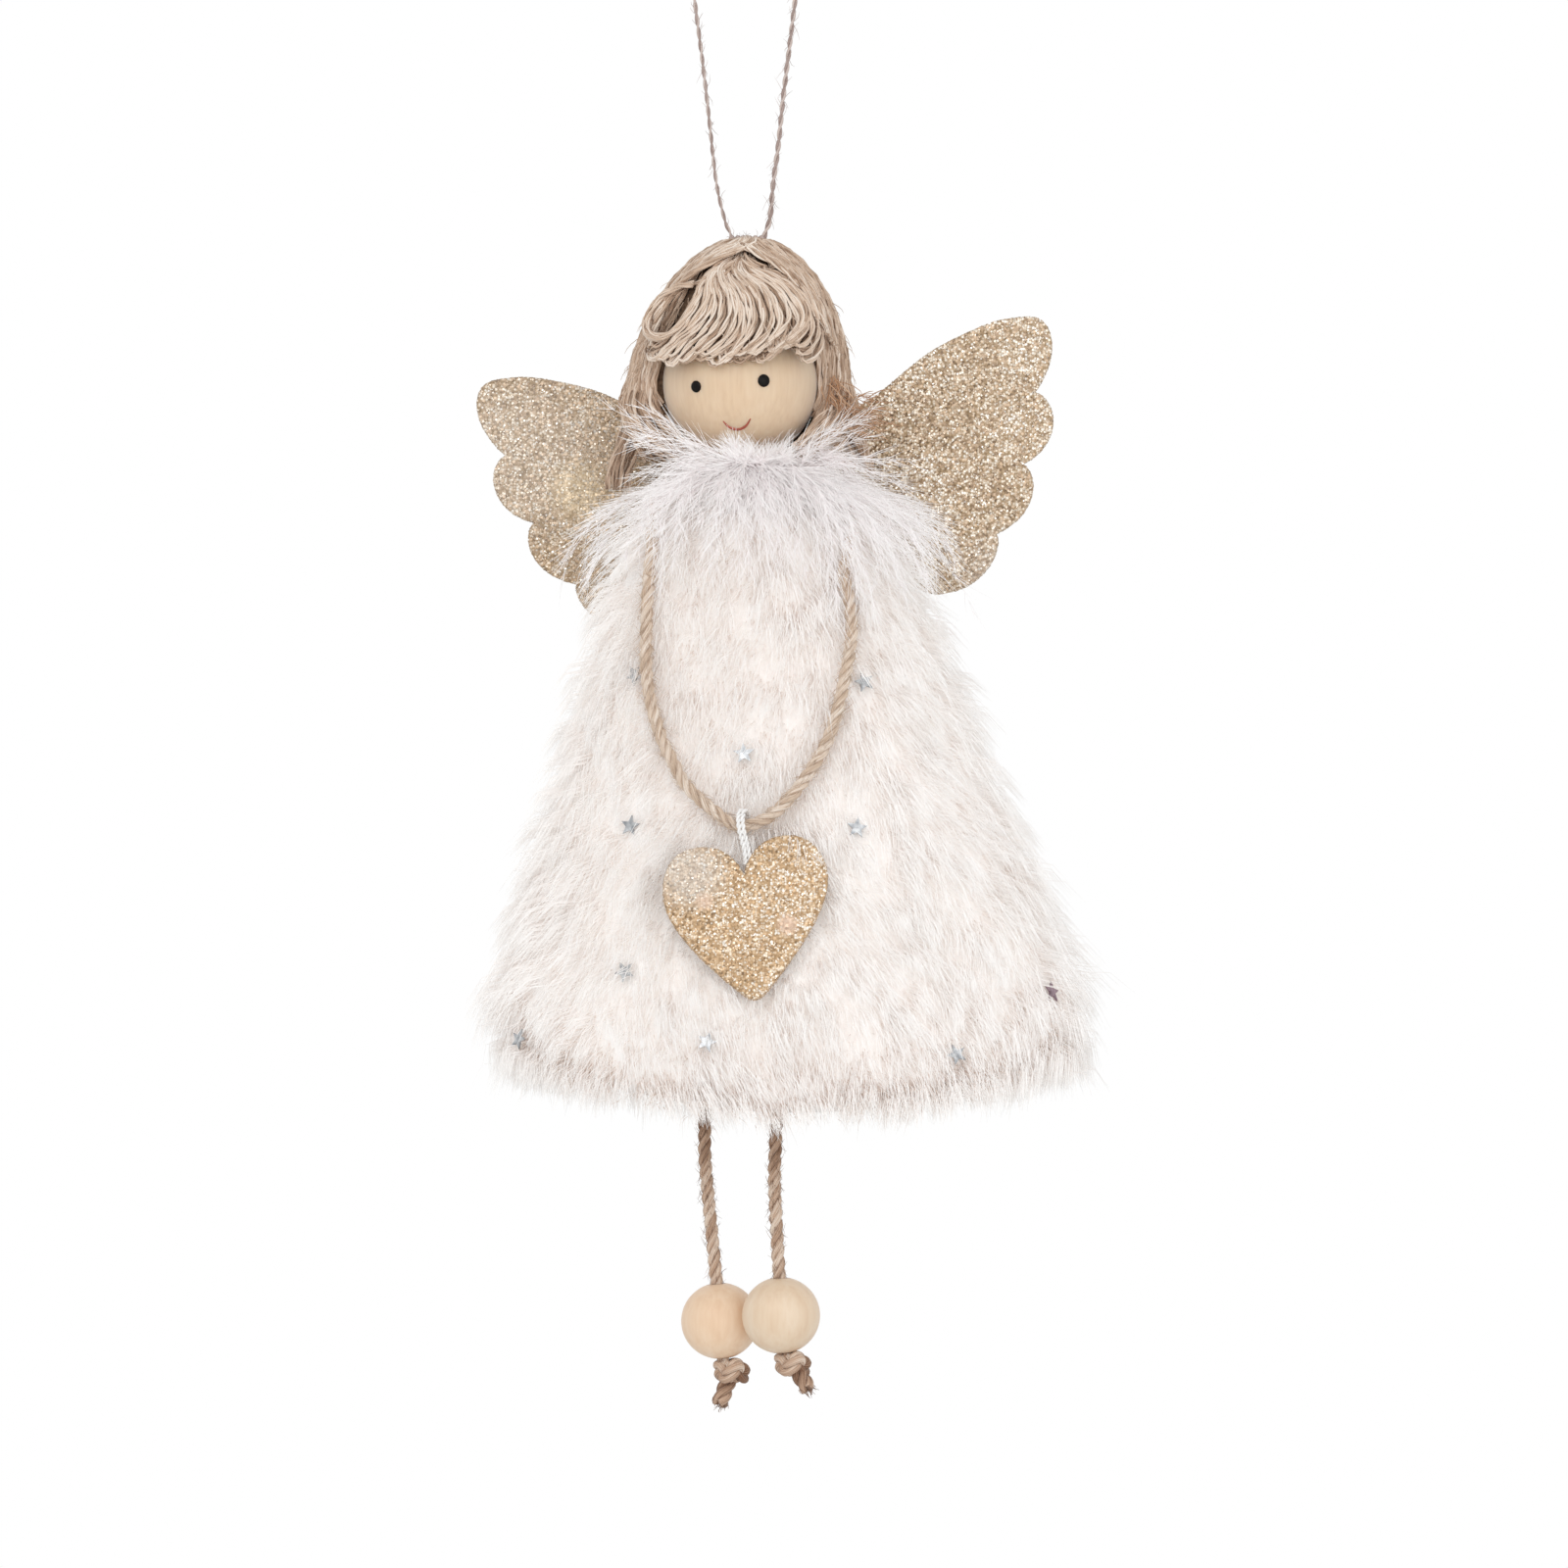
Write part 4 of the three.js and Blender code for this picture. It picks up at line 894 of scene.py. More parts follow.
shape = bmesh.new()
bmesh.ops.create_cone(shape, cap_ends=True, segments=BODY_SIDES, radius1=1, radius2=1, depth=1)
cut_rings(shape, BODY_RINGS)
for i in range(UNDERSIDE_RINGS):
    caps = [f for f in shape.faces if len(f.verts) == BODY_SIDES]
    underside = min(caps, key=lambda f: f.calc_center_median().z)
    bmesh.ops.inset_region(shape, faces=[underside], thickness=UNDERSIDE_STEP)
for v in shape.verts:
    angle = math.atan2(v.co.y, v.co.x)
    far = math.hypot(v.co.x, v.co.y)
    drop = (0.5 - v.co.z) * (lowest_drop(angle) - 1.2) + 1.0
    gather = 0.45 * math.sin(angle * 17 + 0.6) * math.exp(-drop / 14)
    lumps = 0.12 * math.sin(angle * 9 + drop * 0.41) + 0.12 * math.sin(angle * 13 - drop * 0.67 + 2)
    v.co = Vector(dress_at(np.array(angle), np.array(drop), np.array(-PILE_DEPTH + gather + lumps))[0])
    if far < 0.99:
        # inside the hem the underside follows the hem's curve, just above the base
        v.co.x = HEM_CENTRE + (v.co.x - HEM_CENTRE) * far
        v.co.y *= far
        lift = UNDERSIDE_LIFT * min((1 - far) / 0.14, 1) + (1 - far)
        v.co.z += lift - HEM_RISE * math.cos(angle) ** 2 * (1 - far**2)
bmesh.ops.recalc_face_normals(shape, faces=shape.faces)
dress_body = piece_from(shape, "dress_stuffed_body", backing)
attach(dress_body, "doll")
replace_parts(dress_body, "dress_shell", "dress_stuffing")

# Base: a disc of plain white cotton sewn into the hem, which keeps the wadding in.
# The legs come out of it, and it bows up at the sides with the hem.
BASE_HALF = (38.0, 23.2)
BASE_RINGS = 8
BASE_THICK = 0.8
THREAD_SPACING = 0.7

# Plain-weave cotton: matt and off-white, with threads that cross.
# They are drawn wider than real ones to show.
base_cotton, tree = finish_named("white_plain_weave_cotton")
place = node(tree, "TexCoord")
# a wave texture of scale 1 has a band every 0.314 units
threads = {"Vector": place.outputs["Object"], "Scale": 0.314 / (THREAD_SPACING * MM)}
warp = node(tree, "TexWave", threads, bands_direction="X")
weft = node(tree, "TexWave", threads, bands_direction="Y")
weave = node(tree, "Math", {0: warp.outputs["Fac"], 1: weft.outputs["Fac"]}, operation="MULTIPLY")
white = node(tree, "ValToRGB", {"Fac": weave.outputs[0]}, [(0.0, "#D9D2CC"), (0.6, "#F4EFEA")])
ribs = node(tree, "Bump", {"Height": weave.outputs[0], "Strength": 0.5, "Distance": 0.2 * MM})
cloth = node(tree, "BsdfPrincipled", {
    "Base Color": white.outputs["Color"], "Roughness": 0.9, "Specular IOR Level": 0.15,
    "Normal": ribs.outputs["Normal"],
})
node(tree, "OutputMaterial", {"Surface": cloth.outputs[0]})
shape = bmesh.new()
bmesh.ops.create_circle(shape, cap_ends=True, segments=96, radius=1)
for i in range(BASE_RINGS):
    middle = max(shape.faces, key=lambda f: len(f.verts))
    bmesh.ops.inset_region(shape, faces=[middle], thickness=0.11, use_boundary=True)
hem_half = dress_ring(DRESS_LENGTH)[0]
for v in shape.verts:
    x, y = v.co.x * BASE_HALF[0], v.co.y * BASE_HALF[1]
    rise = HEM_RISE * (x / hem_half) ** 2 + 2.5 * v.co.x**4 + 0.2 - 0.5 * math.hypot(v.co.x, v.co.y)
    v.co = (HEM_CENTRE + x, y, NECK_Z - DRESS_LENGTH + rise)
walls = bmesh.ops.extrude_face_region(shape, geom=shape.faces[:])
upper = [v for v in walls["geom"] if isinstance(v, bmesh.types.BMVert)]
bmesh.ops.translate(shape, verts=upper, vec=(0, 0, BASE_THICK))
bmesh.ops.recalc_face_normals(shape, faces=shape.faces)
base = piece_from(shape, "dress_base_cotton", base_cotton)
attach(base, "doll")
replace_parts(base, "dress_base")

# Pile: long polyester fibres that lie down the dress in small tufts, some flat and some raised.
# A fibre is drawn 0.13 mm thick, several times its real size, so that it shows.
# The pile is pressed flat under the necklace, the heart and the stars.
TUFTS = 5600
HEM_TUFTS = 700
TUFT_FIBRES = 9
TUFT_SPREAD = 0.9
RAISED_SHARE = 0.42
FIBRE_R = 0.065
FIBRE_TAPER = [1, 0.9, 0.25]
PILE_PIECES = 5
# the painted shade along the hem reaches this far up from the pile's lowest roots
HEM_SHADE_HEIGHT = 14.0
STAR_CLEAR = 2.2
CORD_CLEAR = 1.7
STAR_COUNT = 16
# more fibres cross these stars than the others
FAINT_STARS = (3, 9, 10)
NECKLACE_LOOP = [
    (-16.38, -12.89, -102.25), (-16.75, -13.84, -106.67), (-16.91, -15.04, -113.24), (-16.8, -15.96, -118.05),
    (-15.96, -17.22, -122.75), (-14.39, -18.74, -127.65), (-12.33, -20.17, -131.75), (-9.98, -21.5, -135.64),
    (-5.87, -22.97, -139.14), (-2.2, -23.91, -141.63), (-0.22, -24.17, -142.03), (1.77, -24.23, -141.53),
    (4.59, -24.08, -140.13), (7.52, -23.61, -137.53), (10.89, -22.69, -133.43), (13.66, -21.56, -128.93),
    (15.4, -20.46, -124.43), (16.75, -19.2, -119.03), (17.82, -17.95, -113.81), (18.03, -17.17, -109.99),
    (17.51, -16.52, -105.63), (16.67, -16.07, -102.26),
]

# Polyester fibres: white and smooth with a slight sheen. Near the root they are painted greyer, as shade in
# the pile.
pile_white, tree = finish_named("white_polyester_pile")
share = node(tree, "Attribute", attribute_name="share").outputs["Fac"]
tone = node(tree, "Attribute", attribute_name="tone").outputs["Fac"]
lifted = node(tree, "Math", {0: tone, 1: 0.35, 2: share}, operation="MULTIPLY_ADD")
fibre = node(tree, "ValToRGB", {"Fac": lifted.outputs[0]}, [
    (0.0, "#E4D8D0"), (0.95, "#FFFEFD"), (0.13, "#FAF5F2"), (0.4, "#FDFAF8"),
])
pile = node(tree, "BsdfPrincipled", {
    "Base Color": fibre.outputs["Color"], "Roughness": 0.55, "Specular IOR Level": 0.3, "Sheen Weight": 0.2,
})
node(tree, "OutputMaterial", {"Surface": pile.outputs[0]})

necklace_line = smooth_line([(x * 0.935, y - 0.05 * abs(x), z) for x, y, z in NECKLACE_LOOP], 0.4)
star_places = []
for i in range(STAR_COUNT):
    low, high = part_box(f"star_{i + 1:02d}")
    star_places.append((np.array(low) + np.array(high)) / 2 / MM)
heart_low, heart_high = (np.array(corner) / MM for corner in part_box("heart"))


def lowest_root(angle):
    # the pile hangs lower than the hem at the sides and ends above it in front
    return DRESS_LENGTH - 0.8 - 8.6 * np.cos(angle) ** 2


# tufts are spread evenly over the cloth, and more of them stand along the hem
drops = np.linspace(3, DRESS_LENGTH, 400)
weight = np.cumsum(dress_ring(drops)[0])
tuft_drop = np.interp(chance.random(TUFTS * 2) * weight[-1], weight, drops)
tuft_angle = chance.uniform(0, 2 * np.pi, TUFTS * 2)
flat = dress_ring(tuft_drop)[1]
speed = np.hypot(np.sin(tuft_angle), flat * np.cos(tuft_angle))
kept = (chance.random(TUFTS * 2) < speed) & (tuft_drop < lowest_root(tuft_angle))
tuft_drop, tuft_angle = tuft_drop[kept][:TUFTS], tuft_angle[kept][:TUFTS]
hem_angle = chance.uniform(0, 2 * np.pi, HEM_TUFTS)
tuft_angle = np.concatenate([tuft_angle, hem_angle])
tuft_drop = np.concatenate([tuft_drop, lowest_root(hem_angle) - chance.uniform(0, 2.5, HEM_TUFTS)])


def pile_line(root_angle, root_drop, swing, lift, length):
    # the root, middle and tip of fibres that rise off the cloth and then lie down along it
    root, facing = dress_at(root_angle, root_drop, -PILE_DEPTH + 0 * root_angle)
    down = unit(dress_at(root_angle, root_drop + 0.5, -PILE_DEPTH + 0 * root_angle)[0] - root)
    aside = np.cross(facing, down)
    way = unit(down + aside * swing[:, None])
    reach = (length / 2)[:, None]
    middle = root + (facing * lift[:, None] + way * 0.62) * reach
    return root, middle, middle + (facing * (lift * 0.32)[:, None] + way * 0.95) * reach


count = len(tuft_angle)
tuft_swing = (
    0.22 * np.sin(3 * tuft_angle + 0.06 * tuft_drop + 1) + 0.18 * np.sin(7 * tuft_angle - 0.11 * tuft_drop)
    + chance.normal(0, 0.2, count)
)
raised = chance.random(count) < RAISED_SHARE
tuft_lift = np.where(raised, chance.normal(0.9, 0.16, count), chance.normal(0.42, 0.1, count))
tuft_length = np.where(raised, chance.uniform(6.0, 8.6, count), chance.uniform(5.0, 7.5, count))
tuft_line = pile_line(tuft_angle, tuft_drop, tuft_swing, tuft_lift, tuft_length)
own = np.repeat(np.arange(count), TUFT_FIBRES)
fibres = len(own)
half = dress_ring(tuft_drop[own])[0]
fibre_angle = tuft_angle[own] + chance.normal(0, TUFT_SPREAD, fibres) / half
fibre_drop = tuft_drop[own] + chance.normal(0, TUFT_SPREAD, fibres)
fibre_swing = tuft_swing[own] + chance.normal(0, 0.22, fibres)
fibre_lift = tuft_lift[own] + chance.normal(0, 0.1, fibres)
# low on the sides the pile is fuller
fuller = 1 + 0.32 * np.abs(np.cos(fibre_angle)) ** 3 * rising(fibre_drop, 45, 85)
fibre_length = tuft_length[own] * chance.uniform(0.75, 1.12, fibres) * fuller
root, middle, tip = pile_line(fibre_angle, fibre_drop, fibre_swing, fibre_lift, fibre_length)
# the fibres of a tuft lean together
tip = tip + (tuft_line[2][own] - tip) * 0.3
middle = middle + (tuft_line[1][own] - middle) * 0.22


def fibre_gap(place):
    # how near each fibre comes to a place
    spots = (root * 0.5 + middle * 0.5, middle, middle * 0.5 + tip * 0.5, tip)
    return np.min([np.linalg.norm(spot - place, axis=1) for spot in spots], axis=0)


pressed = np.ones(fibres)
for i, place in enumerate(star_places):
    near = fibre_gap(place) < STAR_CLEAR
    crossing = chance.random(fibres) < (0.5 if i + 1 in FAINT_STARS else 0.08)
    pressed[near & ~crossing] = 0.2
for place in necklace_line[::3]:
    pressed[fibre_gap(place) < CORD_CLEAR] = 0.5
under_heart = (
    (tip[:, 1] < 0) & (tip[:, 0] > heart_low[0]) & (tip[:, 0] < heart_high[0])
    & (tip[:, 2] > heart_low[2]) & (tip[:, 2] < heart_high[2] - 5)
)
pressed[under_heart] = 0.45
middle = root + (middle - root) * pressed[:, None]
tip = root + (tip - root) * pressed[:, None]
pile_lines = np.stack([root, middle, tip], axis=1)
# painted shade: the pile is darker along the hem, most of all in front, and painted shadow darkens the chest
pile_tone = 0.5 + 0.3 * chance.normal(size=count)[own] + 0.15 * chance.normal(size=fibres)
hem_shade_mask = rising(fibre_drop - lowest_root(fibre_angle), -HEM_SHADE_HEIGHT, 0)
hem_shade = (0.7 - np.sin(fibre_angle)) * hem_shade_mask * chance.uniform(0.2, 1.1, fibres)
chest_shade_mask = rising(-np.sin(fibre_angle), 0.7, 0.85) * rising(fibre_drop, 62, 37)
pile_tone = np.clip(pile_tone, 0, 1) - hem_shade - 0.4 * chest_shade_mask
for i, some in enumerate(np.array_split(np.argsort(fibre_drop), PILE_PIECES)):
    pile = laid(
        f"dress_pile_{i + 1}", stem(3, 2), pile_lines[some], FIBRE_R, pile_white, FIBRE_TAPER, pile_tone[some]
    )
    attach(pile, "doll")

# Stars: confetti punched from thin metallic film, caught in the pile.
# The solids have the right shape, so they only get their finish. One of them is mauve.
MAUVE_STAR = 6
CRUMPLE = 1.1


def film_look(name, dark, pale):
    # Metallised plastic film: bright as metal, but crumpled, so that its shine breaks up.
    look, tree = finish_named(name)
    folds, tint = cloudy(tree, CRUMPLE, 2.0, [(0.35, dark), (0.65, pale)])
    crumple = node(tree, "Bump", {"Height": folds, "Strength": 0.5, "Distance": 0.3 * MM})
    film = node(tree, "BsdfPrincipled", {
        "Base Color": tint, "Metallic": 0.85, "Roughness": 0.32, "Normal": crumple.outputs["Normal"],
    })
    node(tree, "OutputMaterial", {"Surface": film.outputs[0]})
    return look


silver_film = film_look("silver_metallic_film", "#8B8E92", "#C6C8CA")
mauve_film = film_look("mauve_metallic_film", "#7E6B76", "#A8949E")
for i in range(STAR_COUNT):
    star = nodes[f"star_{i + 1:02d}"]
    star.data.materials.clear()
    star.data.materials.append(mauve_film if i + 1 == MAUVE_STAR else silver_film)

# Wings: one flat cut-out of thin board with coarse glitter glued over it, fixed to the back of the dress.
# The outline is drawn as one curve, filled, given its thickness and rounded at the edge.
# Loose grains lie on top.
WING_PLACE = (4, 15.9285, -78.0474)
WING_TILT = math.radians(6.8)
WING_THICK = 2.0
EDGE_ROUND = 0.25
GLUED_GRAIN = 0.38
LOOSE_GRAIN = 0.4
GLITTER_DRIFT = 11.0
WING_GRAINS = 15500
# each point of the right half, with the handle after it and the handle before it
WING_HALF = [
    ((0, -5), (5.9, -2.3), None),
    ((17.7, 3.2), (23, 6.6), (11.8, 0.4)),
    ((26.9, 9), (29.5, 10.3), (24, 7.4)),
    ((37.7, 12.7), (39.6, 13.0), (34.9, 12.1)),
    ((43.4, 12.9), (47.5, 12.6), (41.5, 13.0)),
    ((42.7, 0.8), (46.6, -0.6), (47.8, 6)),
    ((39.3, -10.4), (42, -11.8), (46.4, -8.2)),
    ((33.8, -21), (35.2, -22.8), (41.5, -18.8)),
    ((24.6, -29.4), (23.2, -29.6), (31.5, -29.6)),
    ((20.9, -28.3), (13, -18.8), (21.9, -29.0)),
    ((0, -14), None, (6, -14)),
]
WING_SHADES = [
    (0.0, "#86715E"), (1.0, "#FFFCF6"), (0.2, "#B0967C"), (0.42, "#CAB298"), (0.62, "#D9C9B5"),
    (0.82, "#ECE2D2"),
]
# where the colour drifts: the middle of each place, its radius, its colour and the most of it
WING_PATCHES = [
    ((-36, 15, -82), 17, "#DAD4CE", 0.16), ((-27, 15, -88), 6, "#E8D3AC", 0.35),
    ((44, 15, -104), 12, "#CFC6BE", 0.35),
]


def flipped(place):
    # the same place on the other side of the middle line
    return place and (-place[0], place[1])


def cut_out(half, thickness, rounding):
    # a closed curve from the right half of an outline, mirrored, then made a mesh that stands in the XZ plane
    ring = [(p, before, after) for p, after, before in half]
    mirrored = [(flipped(p), flipped(after), flipped(before)) for p, before, after in ring[1:-1]]
    points = ring + mirrored[::-1]
    flat = bpy.data.curves.new("outline", "CURVE")
    flat.dimensions = "2D"
    flat.fill_mode = "BOTH"
    flat.resolution_u = 10
    flat.extrude = thickness / 2 - rounding
    flat.bevel_depth = rounding
    flat.bevel_resolution = 2
    spline = flat.splines.new("BEZIER")
    spline.bezier_points.add(len(points) - 1)
    spline.use_cyclic_u = True
    for spot, (p, before, after) in zip(spline.bezier_points, points):
        # on the middle line the missing handle is the other one, mirrored
        spot.handle_left_type = spot.handle_right_type = "FREE"
        spot.co = (*p, 0)
        spot.handle_left = (*(before or flipped(after)), 0)
        spot.handle_right = (*(after or flipped(before)), 0)
    drawn = bpy.data.objects.new("outline", flat)
    mesh = bpy.data.meshes.new_from_object(drawn)
    shape = bmesh.new()
    shape.from_mesh(mesh)
    bmesh.ops.remove_doubles(shape, verts=shape.verts, dist=0.001)
    bmesh.ops.rotate(shape, verts=shape.verts, cent=(0, 0, 0), matrix=Matrix.Rotation(math.pi / 2, 3, "X"))
    bmesh.ops.triangulate(shape, faces=shape.faces)
    bmesh.ops.recalc_face_normals(shape, faces=shape.faces)
    bpy.data.objects.remove(drawn)
    bpy.data.curves.remove(flat)
    bpy.data.meshes.remove(mesh)
    return shape


def patched(tree, shade, patches):
    # lets the colour drift in some places, fully inside 0.4 of their radius
    place = node(tree, "TexCoord").outputs["Object"]
    for middle, radius, tint, most in patches:
        centre = tuple(c * MM for c in middle)
        apart = node(tree, "VectorMath", {0: place, 1: centre}, operation="DISTANCE")
        near = node(tree, "MapRange", {
            "Value": apart.outputs["Value"], "From Min": 0.4 * radius * MM, "From Max": radius * MM,
            "To Min": most, "To Max": 0.0,
        })
        mixed = node(tree, "Mix", {0: near.outputs[0], 6: shade, 7: colour(tint)}, data_type="RGBA")
        shade = mixed.outputs[2]
    return shade


def glitter_look(name, shades, gap, patches):
    # Coarse glitter glued on board: flat grains 0.4 mm across in mixed shades, each at its own tilt,
    # so that some flash and others stay dull. The glue between them is darker.
    look, tree = finish_named(name)
    place = node(tree, "TexCoord").outputs["Object"]
    grains = node(tree, "TexVoronoi", {"Vector": place, "Scale": 1 / (GLUED_GRAIN * MM)}).outputs
    lot = node(tree, "SeparateColor", {"Color": grains["Color"]})
    grade = node(tree, "TexNoise", {"Vector": place, "Scale": 1 / (GLITTER_DRIFT * MM), "Detail": 2.0})
    mixed = node(tree, "Math", {0: grade.outputs["Fac"], 1: 0.7, 2: lot.outputs[0]}, operation="MULTIPLY_ADD")
    level = node(tree, "Math", {0: mixed.outputs[0], 1: 0.35}, operation="SUBTRACT")
    shade = node(tree, "ValToRGB", {"Fac": level.outputs[0]}, shades).outputs["Color"]
    rim = node(tree, "MapRange", {"Value": grains["Distance"], "From Min": 0.35, "From Max": 0.75})
    glued = node(tree, "Mix", {0: rim.outputs[0], 6: shade, 7: colour(gap)}, data_type="RGBA")
    tilt = node(tree, "VectorMath", {0: grains["Color"], 1: (0.5, 0.5, 0.5)}, operation="SUBTRACT")
    board = node(tree, "NewGeometry")
    slanted = node(tree, "VectorMath", {
        0: tilt.outputs[0], 1: (0.8, 0.8, 0.8), 2: board.outputs["Normal"],
    }, operation="MULTIPLY_ADD")
    facing = node(tree, "VectorMath", {0: slanted.outputs[0]}, operation="NORMALIZE")
    dull = node(tree, "MapRange", {"Value": lot.outputs[1], "To Min": 0.2, "To Max": 0.65})
    flake = node(tree, "BsdfPrincipled", {
        "Base Color": patched(tree, glued.outputs[2], patches), "Metallic": 0.35,
        "Roughness": dull.outputs[0], "Normal": facing.outputs[0],
    })
    node(tree, "OutputMaterial", {"Surface": flake.outputs[0]})
    return look


def grain_look(name, shades, patches):
    # Single grains of glitter: cut metallised film, each with one shade, most of them bright.
    look, tree = finish_named(name)
    tone = node(tree, "Attribute", attribute_name="tone").outputs["Fac"]
    shade = node(tree, "ValToRGB", {"Fac": tone}, shades)
    dull = node(tree, "MapRange", {"Value": tone, "To Min": 0.35, "To Max": 0.15})
    flake = node(tree, "BsdfPrincipled", {
        "Base Color": patched(tree, shade.outputs["Color"], patches), "Metallic": 0.5,
        "Roughness": dull.outputs[0],
    })
    node(tree, "OutputMaterial", {"Surface": flake.outputs[0]})
    return look


def scattered(name, shape, wanted, look, body, bare=()):
    # flat four-sided grains stood at random slants all over a shape, but for its bare spots
    faces = shape.faces[:]
    areas = np.cumsum([f.calc_area() for f in faces])
    places, slants = [], []
    for pick in np.searchsorted(areas, chance.random(wanted) * areas[-1]):
        a, b, c = (v.co for v in faces[pick].verts)
        s, t = chance.random(2)
        s, t = (1 - s, 1 - t) if s + t > 1 else (s, t)
        place = a + (b - a) * s + (c - a) * t
        if all((place - Vector(spot)).length > reach * chance.uniform(0.7, 1.1) for spot, reach in bare):
            places.append(place)
            slants.append(faces[pick].normal)
    places = np.array(places)
    count = len(places)
    slants = unit(np.array(slants) + chance.normal(0, 0.22, (count, 3)))
    reach = LOOSE_GRAIN * chance.uniform(0.06, 0.1, count)[:, None]
    ends = np.stack([places - slants * reach, places + slants * reach], axis=1)
    made = laid(name, stem(4, 1), ends, LOOSE_GRAIN * chance.uniform(0.3, 0.55, count), look)
    made.data.shade_flat()
    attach(made, body)
    return made


wing_glitter = glitter_look("champagne_glitter_board", WING_SHADES, "#A58C6C", WING_PATCHES)
shape = cut_out(WING_HALF, WING_THICK, EDGE_ROUND)
wing_turn = Matrix.Translation(WING_PLACE) @ Matrix.Rotation(-WING_TILT, 4, "Y")
bmesh.ops.transform(shape, matrix=wing_turn, verts=shape.verts)
grain_film = grain_look("champagne_glitter_film", WING_SHADES, WING_PATCHES)
scattered("wing_glitter_grains", shape, WING_GRAINS, grain_film, "doll")
wings = piece_from(shape, "wing_pair_board", wing_glitter, smooth=False)
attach(wings, "doll")
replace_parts(wings, "wing_pair")

# Necklace: three-ply jute cord, 2.1 mm thick, in one length that sheds many short fibres.
# It goes round the neck under the feathers and hangs in front of the dress.
NECKLACE_D = 2.1
CORD_PITCH = 6.0
CORD_STEP = 0.4
PLY_TONES = np.array([0.45, 0.85, 0.65])
NECKLACE_BAND = [
    (-15.35, -13.8, -102.6), (-15.3, -12.7, -100.94), (-14.9, -11.0, -97.69), (-14.9, -7.6, -94.49),
    (-14.6, -4.2, -91.55), (-14.44, -1.02, -89.15), (-12.2, 3.42, -87.5), (-8.89, 7.42, -86.55),
    (-4.09, 10.59, -86.14), (1.66, 11.79, -86.07), (7.4, 10.55, -86.09), (12.22, 7.36, -86.47),
    (15.62, 3.39, -87.41), (16.6, -0.7, -89.05), (17.3, -4.0, -91.42), (17.2, -7.4, -94.34),
    (16.4, -11.2, -97.55), (15.7, -15.0, -100.96), (15.6, -16.9, -102.6),
]
cord_jute = jute_look("three_ply_jute_cord", "#A68E7B", "#D0B9A3", "#F0E6DB", 0.3)


def rope(name, line, width, body, look):
    # three plies twisted into one cord
    plies, share = plied(line, 3, width / 2, CORD_PITCH)
    made = laid(name, stem(9, len(line) - 1), plies, width / 2 * share, look, tone=PLY_TONES)
    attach(made, body)
    return made


band_line = smooth_line(NECKLACE_BAND, CORD_STEP)
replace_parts(rope("necklace_band_cord", band_line, NECKLACE_D, "doll", cord_jute), "necklace_band")
necklace = rope("necklace_loop_cord", necklace_line, NECKLACE_D, "necklace", cord_jute)
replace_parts(necklace, "necklace_loop")
necklace_fuzz = fuzz("necklace_fuzz", necklace_line, NECKLACE_D / 2, 1300, 1.5, cord_jute, "necklace")

# Collar: white marabou feathers glued round the neck. Each is a thin shaft with soft barbs on both sides.
# A ruff stands under the chin with wisps beside it, a low ruff stands up round the back of the neck,
# and the other feathers fall over the shoulders, the wing roots and the side locks.
FEATHERS = 690
RUFF = 110
WISPS = 64
NECK_RUFF = 130
BARBS = 28
SHAFT_POINTS = 9
SHAFT_R = 0.07
BARB_R = 0.05
RUFF_ROOT = (NECK_CENTRE, -11.0, -84.9)

# Marabou down: very soft white barbs without hooks. They scatter light, so they look bright and airy.
# Toward the shaft the barbs are painted a little greyer, as shade inside the plume.
down_white, tree = finish_named("white_marabou_down")
share = node(tree, "Attribute", attribute_name="share").outputs["Fac"]
tone = node(tree, "Attribute", attribute_name="tone").outputs["Fac"]
lifted = node(tree, "Math", {0: tone, 1: 0.5, 2: share}, operation="MULTIPLY_ADD")
barb = node(tree, "ValToRGB", {"Fac": lifted.outputs[0]}, [
    (0.1, "#F6F0F1"), (1.0, "#FFFEFE"), (0.5, "#FBF8F8"),
])
down = node(tree, "BsdfPrincipled", {
    "Base Color": barb.outputs["Color"], "Roughness": 0.6, "Specular IOR Level": 0.25, "Sheen Weight": 0.3,
})
node(tree, "OutputMaterial", {"Surface": down.outputs[0]})

